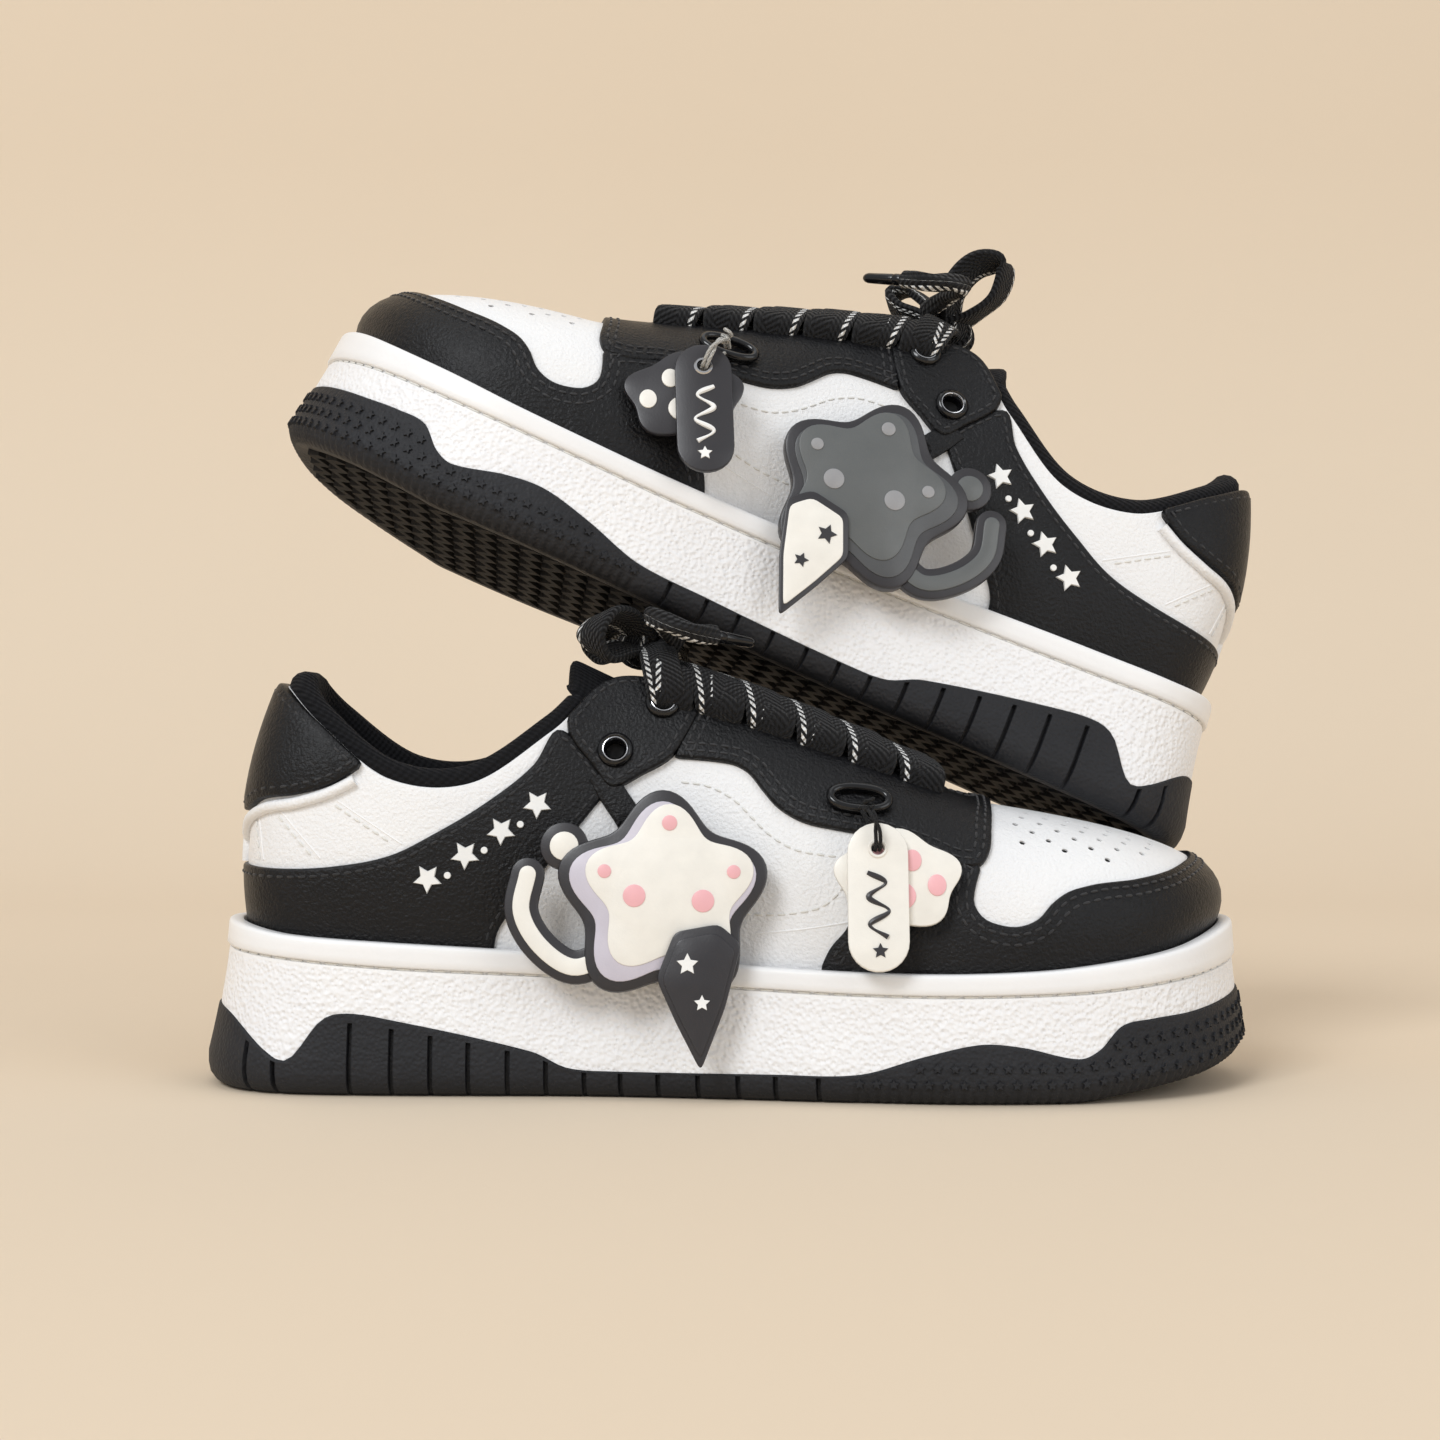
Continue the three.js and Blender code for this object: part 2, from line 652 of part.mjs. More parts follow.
function capsuleShape() {
  const r = tagWidth / 2;
  const shape = new THREE.Shape();
  shape.absarc(0, -1, r, 0, Math.PI, false);
  shape.absarc(0, -(tagLength - 2 * r) - 1, r, Math.PI, 2 * Math.PI, false);
  return shape;
}

/** A rounded plate with four toe bumps, its hole near one corner. */
function pawShape() {
  const shape = new THREE.Shape();
  const count = 40;
  for (let i = 0; i < count; i += 1) {
    const a = (i * 2 * Math.PI) / count;
    const bump = 1 + 0.09 * Math.cos(5 * a - Math.PI / 2);
    const point = [5 + 15 * bump * Math.cos(a), -7.5 + 12 * bump * Math.sin(a)];
    if (i === 0) shape.moveTo(...point);
    else shape.lineTo(...point);
  }
  return shape;
}

/** A puffy five-lobed star with a pennant across its lower part, centred on the star. */
function badge(look) {
  const star = new THREE.Shape();
  const count = 50;
  for (let i = 0; i < count; i += 1) {
    const a = (i * 2 * Math.PI) / count + Math.PI / 2;
    const r = badgeRadius * (0.88 + 0.12 * Math.cos(5 * (a - Math.PI / 2)));
    if (i === 0) star.moveTo(r * Math.cos(a), r * Math.sin(a));
    else star.lineTo(r * Math.cos(a), r * Math.sin(a));
  }
  const pennant = new THREE.Shape();
  pennant.moveTo(-2, -badgeRadius * 0.55);
  pennant.lineTo(-2 + pennantWidth, -badgeRadius * 0.45);
  pennant.lineTo(pennantWidth - 1, -badgeRadius * 0.5 - pennantLength);
  pennant.lineTo(-5, -badgeRadius * 0.5 - pennantLength * 0.72);
  const body = toSolid(charm(star, badgeThickness));
  const flag = toSolid(charm(pennant, badgeThickness * 0.6));
  const lean = THREE.MathUtils.degToRad(look.badgeLean);
  const [x, y, z] = look.badgeAt;
  const seat = locate(x + strapAt[0] / grade.x, z + strapAt[1] / grade.z);
  const face = onUpper(seat.u, seat.t, leather + 2.5 * clearance);
  const strapReach = (face.y - y * grade.y + strapAt[1] * Math.sin(lean)) / Math.cos(lean);
  const post = new THREE.CylinderGeometry(strapRadius, strapRadius, strapReach, 10);
  const strap = toSolid(post.translate(strapAt[0], strapReach / 2, strapAt[1]));
  return toGeometry(body.add(flag).add(strap));
}

// ---- Materials ----

const finish = (color, roughness) => () => new THREE.MeshStandardMaterial({ color, roughness });
const finishes = {
  blackLeather: finish(0x19191b, 0.5),
  whiteLeather: finish(0xececea, 0.45),
  rubberBlack: finish(0x2d2f32, 0.7),
  rubberWhite: finish(0xf0efec, 0.5),
  textile: finish(0x141416, 0.95),
  board: finish(0xb9a98c, 0.9),
  counter: finish(0xd8d5cc, 0.6),
  braid: finish(0x101012, 0.85),
  gloss: finish(0x0c0c0e, 0.15),
  cream: finish(0xe9e2d2, 0.4),
  grey: finish(0x5f6262, 0.5),
  black: finish(0x17171a, 0.3),
  white: finish(0xf2f0ea, 0.8),
};

// ---- One shoe ----

function shoe(name, look) {
  const group = new THREE.Group();
  const add = (piece, geometry, material, parent = group) => {
    const mesh = new THREE.Mesh(geometry, finishes[material]());
    mesh.name = `${name}_${piece}`;
    parent.add(mesh);
    return mesh;
  };

  add('outsole', outsole(), 'rubberBlack');
  add('cupsole', cupsole(), 'rubberWhite');
  add('lasting_board', footbed(clearance, boardThickness), 'board');
  add('sockliner', footbed(boardThickness + 2 * clearance, linerThickness), 'textile');

  add('vamp', panel(baseShell, vampPanel), 'whiteLeather');
  add('quarter_lateral', quarter(-1), 'whiteLeather');
  add('quarter_medial', quarter(1), 'whiteLeather');
  add('toe_guard', panel(overlayShell, toeGuardPanel), 'blackLeather');
  add('foxing', panel(overlayShell, foxingPanel), 'blackLeather');
  add('eyestay', panel(overlayShell, eyestayPanel), 'blackLeather');
  add('heel_tab', panel(tabShell, heelTabPanel), 'blackLeather');
  add('heel_counter', heelCounter(), 'counter');
  add('collar', collar(), 'textile');
  add('tongue', tongue(), 'textile');
  for (const [label, side] of [['lateral', -1], ['medial', 1]]) {
    add(`eyelet_tab_${label}`, panel(tabShell, eyeletTabPanel, side), 'blackLeather');
    for (const { name: level, at } of eyelets) add(`eyelet_${level}_${label}`, eyelet(at, side), 'gloss');
  }

  add('lace', lace(look.bow), 'braid');
  for (const [label, tail] of Object.entries(look.tails)) {
    add(`lace_tail_${label}`, laceTail(tail), 'braid');
    add(`aglet_${label}`, aglet(tail), 'gloss');
  }

  const ring = new THREE.TorusGeometry(0.5, ringRod / ringLength / 2, 6, 18);
  ring.scale(ringLength - ringRod, ringWidth - ringRod, ringLength);
  const ringSeat = locate(...look.ring);
  const ringOut = upperNormal(ringSeat.u, ringSeat.t);
  const ringPlace = onUpper(ringSeat.u, ringSeat.t, overlayOuter + clearance + ringRod / 2);
  add('charm_ring', aim(ring, ringOut, ringPlace), 'gloss');

  const hang = new THREE.Group();
  hang.position.set(...look.hang).multiply(grade);
  hang.rotation.set(THREE.MathUtils.degToRad(look.lean), THREE.MathUtils.degToRad(look.plumb), 0, 'YXZ');
  group.add(hang);
  const tag = add('tag', charm(capsuleShape(), charmThickness, charmHole), look.tag, hang);
  tag.position.set(0, -charmThickness - clearance, 0);
  add('paw', charm(pawShape(), charmThickness, charmHole), look.paw, hang);

  const loop = new THREE.CatmullRomCurve3(look.cord.map((p) => new THREE.Vector3(...p).multiply(grade)));
  const section = new THREE.Shape().absarc(0, 0, cordDiameter / 2, 0, 2 * Math.PI, false);
  const along = { steps: 7, extrudePath: loop, curveSegments: 4, bevelEnabled: false };
  const cord = new THREE.ExtrudeGeometry(section, along);
  add('tag_cord', cord, look.cordColour);

  const patch = add('badge', badge(look), look.badge);
  patch.position.set(...look.badgeAt).multiply(grade);
  patch.rotation.set(
    THREE.MathUtils.degToRad(look.badgeLean),
    THREE.MathUtils.degToRad(look.badgeTurn),
    0,
    'YXZ',
  );
  return group;
}

// The bow's loops and tails, from the knot; the two shoes are tied differently.
const rightLook = {
  bow: {
    loops: [
      [[-1, -3, 4], [-6, -10, 9], [-11, -17, 9], [-14, -21, 4], [-12, -18, 0], [-6, -10, 1], [-1, -3, 1]],
      [[-1, 3, 4], [-7, 10, 8], [-12, 17, 7], [-15, 21, 3], [-12, 18, 0], [-6, 10, 1], [-1, 3, 1]],
    ],
  },
  tails: {
    lateral: [[8, -6, 3], [4, -14, 8], [2, -21, 9], [6, -25, 7], [12, -24, 5], [18, -20, 4]],
    medial: [[5, 7.5, 3], [6, 14, 3], [7, 21, 1.5], [8, 27, -3], [8, 31, -11], [8, 33.5, -17]],
  },
  ring: [32, 72],
  hang: [36, -45, 62],
  lean: -14,
  plumb: 0,
  cord: [[33, -36, 71.4], [35.6, -40.3, 65.5], [36, -43.2, 61.9], [36, -46, 62.2], [36, -48.6, 62.9]],
  tag: 'cream',
  paw: 'cream',
  cordColour: 'braid',
  badge: 'cream',
  badgeAt: [-17, -43, 50],
  badgeLean: -9,
  badgeTurn: 0,
};
const leftLook = {
  ...rightLook,
  plumb: toeUp,
  tag: 'black',
  paw: 'black',
  cordColour: 'white',
  badge: 'grey',
};

// ---- The pair ----

const right = shoe('right', rightLook);
const left = shoe('left', leftLook);
left.scale.x = -1;
left.rotation.set(
  THREE.MathUtils.degToRad(leanSideways),
  THREE.MathUtils.degToRad(toeUp),
  THREE.MathUtils.degToRad(yaw),
  'ZXY',
);

/** The named pieces of a shoe as solids in place. */
function placed(group, pieces) {
  group.updateMatrixWorld(true);
  const found = [];
  group.traverse((mesh) => {
    if (pieces.some((piece) => mesh.name.endsWith(piece))) {
      const solid = toSolid(mesh.geometry);
      found.push(solid.transform(mesh.matrixWorld.elements));
    }
  });
  return found;
}

/** The lowest height of the left shoe at which its sole still clears the right shoe. */
function restingHeight() {
  const under = placed(right, ['vamp', 'toe_guard', 'eyestay', 'lace', 'tongue', 'collar', 'aglet_lateral',
    'lace_tail_lateral', 'lace_tail_medial', 'cupsole']);
  const touches = (height) => {
    left.position.set(leftX * grade.x, leftY * grade.y, height);
    const sole = placed(left, ['outsole', 'cupsole']);
    return sole.some((a) => under.some((b) => a.intersect(b).volume() > 0.001));
  };
  let low = 0.7 * heelHeight;
  let high = 2 * heelHeight;
  while (high - low > 0.02) {
    const middle = (low + high) / 2;
    if (touches(middle)) low = middle;
    else high = middle;
  }
  return high + clearance;
}

left.position.set(leftX * grade.x, leftY * grade.y, restingHeight());

const pair = new THREE.Group();
pair.add(right, left);

export default pair;
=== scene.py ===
import math

import bpy
import numpy as np
from mathutils import Matrix, Vector
from mathutils.geometry import delaunay_2d_cdt


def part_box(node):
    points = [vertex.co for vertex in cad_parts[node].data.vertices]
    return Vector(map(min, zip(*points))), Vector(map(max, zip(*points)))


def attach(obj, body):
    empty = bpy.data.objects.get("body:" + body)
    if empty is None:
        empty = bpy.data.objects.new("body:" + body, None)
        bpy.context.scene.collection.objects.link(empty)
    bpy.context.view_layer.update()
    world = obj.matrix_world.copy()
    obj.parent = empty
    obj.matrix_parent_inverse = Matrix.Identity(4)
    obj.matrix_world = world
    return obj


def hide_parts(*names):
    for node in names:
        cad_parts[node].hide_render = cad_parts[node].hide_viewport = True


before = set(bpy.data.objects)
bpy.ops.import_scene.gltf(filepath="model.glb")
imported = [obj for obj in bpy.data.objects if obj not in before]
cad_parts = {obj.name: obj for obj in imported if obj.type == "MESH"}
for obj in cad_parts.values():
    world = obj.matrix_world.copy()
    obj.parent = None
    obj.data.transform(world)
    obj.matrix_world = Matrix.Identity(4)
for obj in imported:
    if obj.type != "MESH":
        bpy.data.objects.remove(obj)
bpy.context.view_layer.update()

MM = 0.001

# ---- Dimensions of the pattern ----
CUP_WALL = 3
OUTSOLE_WALL = 2.5
TREAD_CORNER = 5
OUTSOLE_FLOOR = 5
FLARE_FOOT = 8
FOOT_GAP = 1.2
COLLAR_RISE = 6
UPPER_INSET = 6.4
BASE_TOP = 1.4
OVERLAY_TOP = 2.7
EYESTAY_TOP = 3.1
TAB_TOP = 3.8
SEWN_DOWN = 1.2
FIRST_ROW_X = 46
LAST_ROW_X = -18
LACE_ROWS = 6
LACE_WIDTH = 11
LACE_THICKNESS = 2.6
KNOT_X = -22
THROAT_HALF = 11
TAIL_DIAMETER = 5
AGLET_LENGTH = 12
CLEARANCE = 0.3
STITCH_PITCH = 2.9
TREAD_DEPTH = 1.2
SIPE_DEPTH = 1.7
FIRST_STAR_X = 32

# Heel to toe: the cup's lip on the lateral and on the medial side, the top edge (x, |y|, z), the
# swell above the lip (out, up) and the shoulder below the top edge (share, drop).
STATIONS = [
    ((-131.5, 0), (-131.5, 0), (-115.5, 0, 103), (3, 20), (0.85, 22)),
    ((-126, -20), (-126, 19), (-113.5, 12, 101.5), (3, 20), (0.9, 20)),
    ((-112, -31), (-112, 29.5), (-105, 20.5, 93), (2.5, 18), (1, 18)),
    ((-88, -34.3), (-88, 32.5), (-87, 26.5, 79.3), (2, 14), (1.2, 12)),
    ((-64, -35), (-64, 31.4), (-66, 27, 78.2), (1.5, 14), (1.2, 12)),
    ((-42, -35.3), (-42, 30.8), (-46, 23.5, 91.2), (0.5, 22), (0.7, 16)),
    ((-22, -37.2), (-22, 31), (-30, 16, 104), (0, 32), (0.5, 16)),
    ((2, -41), (2, 34), (-5, 14, 98.5), (0, 30), (0.55, 11)),
    ((30, -46.3), (30, 39), (24, 13, 87.5), (0.5, 26), (0.6, 9)),
    ((60, -50), (60, 45), (49, 12, 76.5), (1, 22), (0.63, 6)),
    ((90, -47.5), (88, 44.5), (56, 9.5, 73.3), (2, 17), (0.75, 9)),
    ((113, -36), (112, 39), (57.3, 5.5, 72.7), (4, 15), (0.87, 9)),
    ((127, -17), (128, 26), (57.5, 2.6, 72.5), (6.5, 13.5), (0.91, 9)),
    ((132.5, 5), (132.5, 5), (57.6, 0, 72.4), (7.8, 13), (0.924, 9)),
]

# Side-view lines of the sole, as (x, z).
LIP_LINE = [
    (-140, 43.5), (-131, 42.7), (-112, 39.9), (-62, 36.8), (4, 33.1), (43, 31.7), (75, 32.4),
    (98, 34.7), (114, 37.2), (131, 41.7), (140, 43.5),
]
TRAY_LINE = [
    (-140, 21.5), (-132.7, 20.8), (-125.5, 18.8), (-114.5, 9.6), (-110.2, 8.9), (-103.5, 18),
    (-98, 20.3), (-86.4, 19), (-49.9, 11.1), (-41, 7.2), (-30, 6.4), (12, 6.5), (31.9, 7),
    (47.6, 11.6), (61, 14.6), (71.2, 13.9), (84.9, 11), (90, 13), (95.9, 18.6), (104, 20),
    (114.2, 20.9), (126.7, 23), (140, 26),
]
TREAD_LINE = [(-140, 0), (85, 0), (92, 0.85), (109, 3.3), (124, 5.8), (133, 9), (140, 17)]
FLOOR_LINE = [(-140, 22), (-100, 21), (-60, 18), (40, 13), (90, 15), (140, 23)]
FLARE_LINE = [(-140, 6), (-130, 5.5), (-105, 3.5), (0, 3), (100, 2.5), (125, 3.5), (140, 4.5)]
BAND_LINE = [(-140, 36.6), (-91, 32.1), (-43, 29.9), (32, 26.4), (83, 26.9), (114, 29.6), (140, 34)]
THROAT_LINE = [(-30, 104), (-5, 98.5), (24, 87.5), (49, 76.5)]

SIPES = [
    -120, -113.6, -95.5, -85, -75.3, -65.8, -56, -46.3, -36.5, -27.3, -17.8, -7.8, 2.2, 11.5, 22,
]

# The tongue from under the vamp to its free top: x, z, half width, thickness.
TONGUE_SECTIONS = [
    (70, 59, 14, 0.35), (58, 65, 17, 0.5), (46, 73, 17.5, 0.7), (24, 84.5, 18, 1), (0, 94.5, 18, 1.1),
    (-24, 102.4, 17.5, 1.3), (-34, 107, 17.5, 1.3), (-39.5, 109.6, 16, 1.1),
]

# The lace's free tails and the bow's loops, from the knot.
TAILS = {
    "lateral": [(8, -6, 3), (4, -14, 8), (2, -21, 9), (6, -25, 7), (12, -24, 5), (18, -20, 4)],
    "medial": [(5, 7.5, 3), (6, 14, 3), (7, 21, 1.5), (8, 27, -3), (8, 31, -11), (8, 33.5, -17)],
}
LOOPS = {
    "right": [
        [(-1, -3, 4), (-6, -10, 9), (-11, -17, 9), (-14, -21, 4), (-12, -18, 0), (-6, -10, 1), (-1, -3, 1)],
        [(-1, 3, 4), (-7, 10, 8), (-12, 17, 7), (-15, 21, 3), (-12, 18, 0), (-6, 10, 1), (-1, 3, 1)],
    ],
    "left": [
        [(0, -3, 4), (3, -6, 13), (-1, -8, 22), (-7, -9, 24), (-9, -8, 16), (-5, -5, 8), (0, -3, 2)],
        [(0, 3, 4), (7, 8, 10), (14, 11, 12), (18, 10, 8), (14, 7, 4), (6, 4, 3), (0, 3, 1)],
    ],
}

# ---- Curves and surfaces ----


def unit(v):
    return v / np.maximum(np.linalg.norm(v, axis=-1, keepdims=True), 1e-9)


def dot(a, b):
    return np.sum(a * b, axis=-1, keepdims=True)


def run_length(points):
    """How far along a line each of its points lies."""
    return np.concatenate([[0], np.cumsum(np.linalg.norm(np.diff(points, axis=0), axis=1))])


def round_angles(count):
    return np.arange(count) * 2 * math.pi / count


def read(line, x):
    """The height of a smooth line through (x, z) points."""
    xs, zs = np.array(line, float).T
    x = np.asarray(x, float)
    i = np.clip(np.searchsorted(xs, x) - 1, 0, len(xs) - 2)
    last = len(xs) - 1

    def slope(k):
        low, high = np.maximum(k - 1, 0), np.minimum(k + 1, last)
        return (zs[high] - zs[low]) / (xs[high] - xs[low])

    step = xs[i + 1] - xs[i]
    s = np.clip((x - xs[i]) / step, 0, 1)
    h = s * s * (3 - 2 * s)
    bends = step * (slope(i) * s * (1 - s) ** 2 - slope(i + 1) * s * s * (1 - s))
    return zs[i] * (1 - h) + zs[i + 1] * h + bends


def smooth_path(points, step):
    """Points about step apart on a smooth open curve through the given ones."""
    p = np.array(points, float)
    s = run_length(p)
    tangent = np.gradient(p, s, axis=0)
    at = np.linspace(0, s[-1], max(3, round(s[-1] / step) + 1))
    i = np.clip(np.searchsorted(s, at, side="right") - 1, 0, len(s) - 2)
    h = (s[i + 1] - s[i])[:, None]
    q = ((at - s[i])[:, None]) / h
    start = p[i] * (1 - 3 * q**2 + 2 * q**3) + tangent[i] * h * (q - 2 * q**2 + q**3)
    return start + p[i + 1] * (3 * q**2 - 2 * q**3) + tangent[i + 1] * h * (q**3 - q**2)


AROUND = [(lateral, -1, edge, swell, shoulder) for lateral, _, edge, swell, shoulder in STATIONS]
AROUND += [(medial, 1, edge, swell, shoulder) for _, medial, edge, swell, shoulder in STATIONS[-2:0:-1]]
TURNS = len(AROUND)
TOE = TURNS / 2
LIP_RING = np.array([(x, y, 0) for (x, y), *_ in AROUND], float)


def on_ring(points, u):
    """A point on the closed smooth curve through the points, u counting from point to point."""
    u = np.asarray(u, float)
    i = np.floor(u).astype(int)
    s = (u - i)[..., None]
    a, b, c, d = (points[(i + k) % TURNS] for k in (-1, 0, 1, 2))
    first = a * (-0.5 * s + s**2 - 0.5 * s**3) + b * (1 - 2.5 * s**2 + 1.5 * s**3)
    return first + c * (0.5 * s + 2 * s**2 - 1.5 * s**3) + d * (0.5 * s**3 - 0.5 * s**2)


def outward(u):
    along = on_ring(LIP_RING, np.asarray(u) + 0.05) - on_ring(LIP_RING, np.asarray(u) - 0.05)
    return unit(np.stack([along[..., 1], -along[..., 0], 0 * along[..., 0]], axis=-1))


def plan(u, offset):
    """The cup's outline seen from above, moved outward."""
    return on_ring(LIP_RING, u) + outward(u) * np.asarray(offset)[..., None]


WHOLE = np.arange(TURNS)
LIP_LEVEL = plan(WHOLE, -UPPER_INSET * np.ones(TURNS))
LIP_LEVEL[:, 2] = read(LIP_LINE, LIP_LEVEL[:, 0]) + 1
TOP_EDGE = np.array([(edge[0], side * edge[1], edge[2]) for _, side, edge, _, _ in AROUND], float)
SWELL = LIP_LEVEL + outward(WHOLE) * np.array([[row[3][0]] for row in AROUND])
SWELL[:, 2] += [row[3][1] for row in AROUND]
SHOULDER = TOP_EDGE.copy()
SHOULDER[:, :2] += (LIP_LEVEL - TOP_EDGE)[:, :2] * np.array([[row[4][0]] for row in AROUND])
SHOULDER[:, 2] -= [row[4][1] for row in AROUND]


def upper(u, t):
    """The upper's inner face: t is -1 on the cup floor, 0 at the lip and 1 at the top edge."""
    u, t = np.broadcast_arrays(np.asarray(u, float), np.asarray(t, float))
    a, b, c, d = (on_ring(ring, u) for ring in (LIP_LEVEL, SWELL, SHOULDER, TOP_EDGE))
    s = np.clip(t, 0, 1)[..., None]
    p = a * (1 - s) ** 3 + 3 * b * s * (1 - s) ** 2 + 3 * c * s * s * (1 - s) + d * s**3
    p = p + unit(d - c) * (np.maximum(t - 1, 0)[..., None] * 10 * COLLAR_RISE)
    foot = read(FLOOR_LINE, a[..., 0]) + FOOT_GAP
    p[..., 2] += np.minimum(t, 0) * (a[..., 2] - foot)
    return p


def spread(u, t):
    """How the surface moves with u and with t, and its outward direction."""
    h = 0.02
    across = (upper(u + h, t) - upper(u - h, t)) / (2 * h)
    rising = (upper(u, t + h) - upper(u, t - h)) / (2 * h)
    return across, rising, unit(np.cross(across, rising))


def on_upper(u, t, offset):
    u, t = np.broadcast_arrays(np.asarray(u, float), np.asarray(t, float))
    return upper(u, t) + spread(u, t)[2] * np.broadcast_to(offset, u.shape)[..., None]


def finder(us, ts, axes):
    """A function that turns points seen along one axis into (u, t)."""
    grid_u, grid_t = np.meshgrid(us, ts, indexing="ij")
    seen = upper(grid_u, grid_t)[..., axes]

    def find(points):
        found = []
        for target in np.atleast_2d(np.array(points, float)):
            miss = np.linalg.norm(seen - target, axis=-1)
            i, j = np.unravel_index(np.argmin(miss), miss.shape)
            at = np.array([grid_u[i, j], grid_t[i, j]])
            for _ in range(5):
                gap = target - upper(*at)[..., axes]
                across, rising, _ = spread(*at)
                step = np.linalg.lstsq(np.stack([across[axes], rising[axes]], 1), gap, rcond=0.05)[0]
                at = at + np.clip(step, -0.1, 0.1)
            at[0] = np.clip(at[0], us[0], us[-1])
            at[1] = np.clip(at[1], ts[0], ts[-1])
            found.append(at)
        return np.array(found)

    return find


from_side = finder(np.linspace(0, TOE, 391), np.linspace(-0.3, 1, 105), [0, 2])
from_top = finder(np.linspace(8, 18, 201), np.linspace(0.05, 1, 96), [0, 1])


def rim_at(x):
    """(u, 1) where the lateral top edge is at x."""
    us = np.linspace(0, TOE, 1301)
    xs = upper(us, np.ones(len(us)))[:, 0]
    return np.array([us[np.argmin(np.abs(xs - x))], 1.0])


def middle_at(u, x):
    """(u, t) on the toe's or the heel's middle line at x."""
    ts = np.linspace(0, 1, 501)
    xs = upper(np.full(len(ts), float(u)), ts)[:, 0]
    return np.array([u, ts[np.argmin(np.abs(xs - x))]])


def side_line(points, step=1.5):
    """A smooth line seen from the side, laid onto the surface as (u, t)."""
    return from_side(smooth_path(points, step))


# ---- Shapes: points, faces, texture places and a material number for each face ----


class Shape:
    def __init__(self, points, faces, uv=None, looks=None):
        self.points = np.asarray(points, float).reshape(-1, 3)
        self.faces = [tuple(int(i) for i in face) for face in faces]
        self.uv = uv
        self.looks = looks

    def moved(self, matrix):
        turn = np.array(matrix.to_3x3())
        points = self.points @ turn.T + np.array(matrix.translation)
        return Shape(points, self.faces, self.uv, self.looks)


def joined(shapes):
    points, faces, uvs, looks, start = [], [], [], [], 0
    for shape in shapes:
        points.append(shape.points)
        faces += [tuple(i + start for i in face) for face in shape.faces]
        uvs.append(np.zeros((len(shape.points), 2)) if shape.uv is None else shape.uv)
        looks += shape.looks or [0] * len(shape.faces)
        start += len(shape.points)
    return Shape(np.concatenate(points), faces, np.concatenate(uvs), looks)


def ladder(rows, n, closed_ring=True, closed_rows=False):
    """Quads between rows of n points each."""
    faces = []
    for a in range(rows if closed_rows else rows - 1):
        b = (a + 1) % rows
        for i in range(n if closed_ring else n - 1):
            j = (i + 1) % n
            faces.append((a * n + i, a * n + j, b * n + j, b * n + i))
    return faces


def loft(rings, closed_ring=True, closed_rows=False, capped=False, uv=None):
    rings = np.asarray(rings, float)
    rows, n = rings.shape[:2]
    faces = ladder(rows, n, closed_ring, closed_rows)
    if capped:
        last = (rows - 1) * n
        faces += [tuple(range(n))[::-1], tuple(range(last, last + n))]
    return Shape(rings, faces, uv)


def scatter(template, centres, ex, ey, ez):
    """Copies of a template with its axes along ex, ey and ez."""
    centres, ex, ey, ez = (np.atleast_2d(v) for v in (centres, ex, ey, ez))
    k = len(template.points)
    x, y, z = (template.points[:, i][None, :, None] for i in range(3))
    points = centres[:, None] + ex[:, None] * x + ey[:, None] * y + ez[:, None] * z
    faces = [tuple(i + c * k for i in face) for c in range(len(centres)) for face in template.faces]
    return Shape(points, faces)


def tube(path, radius, sides=12, capped=True, lobes=0.0):
    """A round tube along a path; radius may change along it."""
    path = np.asarray(path, float)
    along = unit(np.gradient(path, axis=0))
    radius = np.broadcast_to(radius, len(path))
    side = np.cross(along[0], [0.3, 0.2, 1.0])
    rings = []
    for k, (p, direction) in enumerate(zip(path, along)):
        side = unit(side - direction * np.dot(side, direction))
        up = np.cross(direction, side)
        angle = round_angles(sides)
        reach = radius[k] * (1 + lobes * np.cos(3 * angle + 0.5 * k))
        rings.append(p + side * (reach * np.cos(angle))[:, None] + up * (reach * np.sin(angle))[:, None])
    arc = run_length(path)
    uv = np.stack([np.repeat(arc, sides), np.tile(np.arange(sides) / sides, len(path))], 1)
    return loft(rings, capped=capped, uv=uv)


def ribbon(path, wide, width, thickness, sides=14):
    """A flat braid with rounded edges along a path."""
    path, wide = np.asarray(path, float), np.asarray(wide, float)
    along = unit(np.gradient(path, axis=0))
    side = unit(wide - along * dot(wide, along))
    face = np.cross(along, side)
    angle = round_angles(sides)
    across = np.sign(np.cos(angle)) * np.abs(np.cos(angle)) ** 0.45
    deep = np.sign(np.sin(angle)) * np.abs(np.sin(angle)) ** 0.7
    width = np.broadcast_to(width, len(path))[:, None, None]
    rings = path[:, None] + side[:, None] * across[None, :, None] * width / 2
    rings = rings + face[:, None] * deep[None, :, None] * thickness / 2
    arc = run_length(path)
    uv = np.stack([np.repeat(arc, sides), np.tile(0.5 + across / 2, len(path))], 1)
    return loft(rings, capped=True, uv=uv)


def inside(points, loop):
    """Which of the flat points lie inside a closed loop."""
    x, y = points[:, 0][:, None], points[:, 1][:, None]
    ax, ay = loop[:, 0][None], loop[:, 1][None]
    bx, by = np.roll(ax, -1, 1), np.roll(ay, -1, 1)
    rise = np.where(by == ay, 1e-12, by - ay)
    crossed = ((ay > y) != (by > y)) & (x < ax + (y - ay) * (bx - ax) / rise)
    return np.sum(crossed, axis=1) % 2 == 1


def anticlockwise(loop):
    x, y = loop.T
    area = 0.5 * np.sum(x * np.roll(y, -1) - y * np.roll(x, -1))
    return loop[::-1] if area < 0 else loop


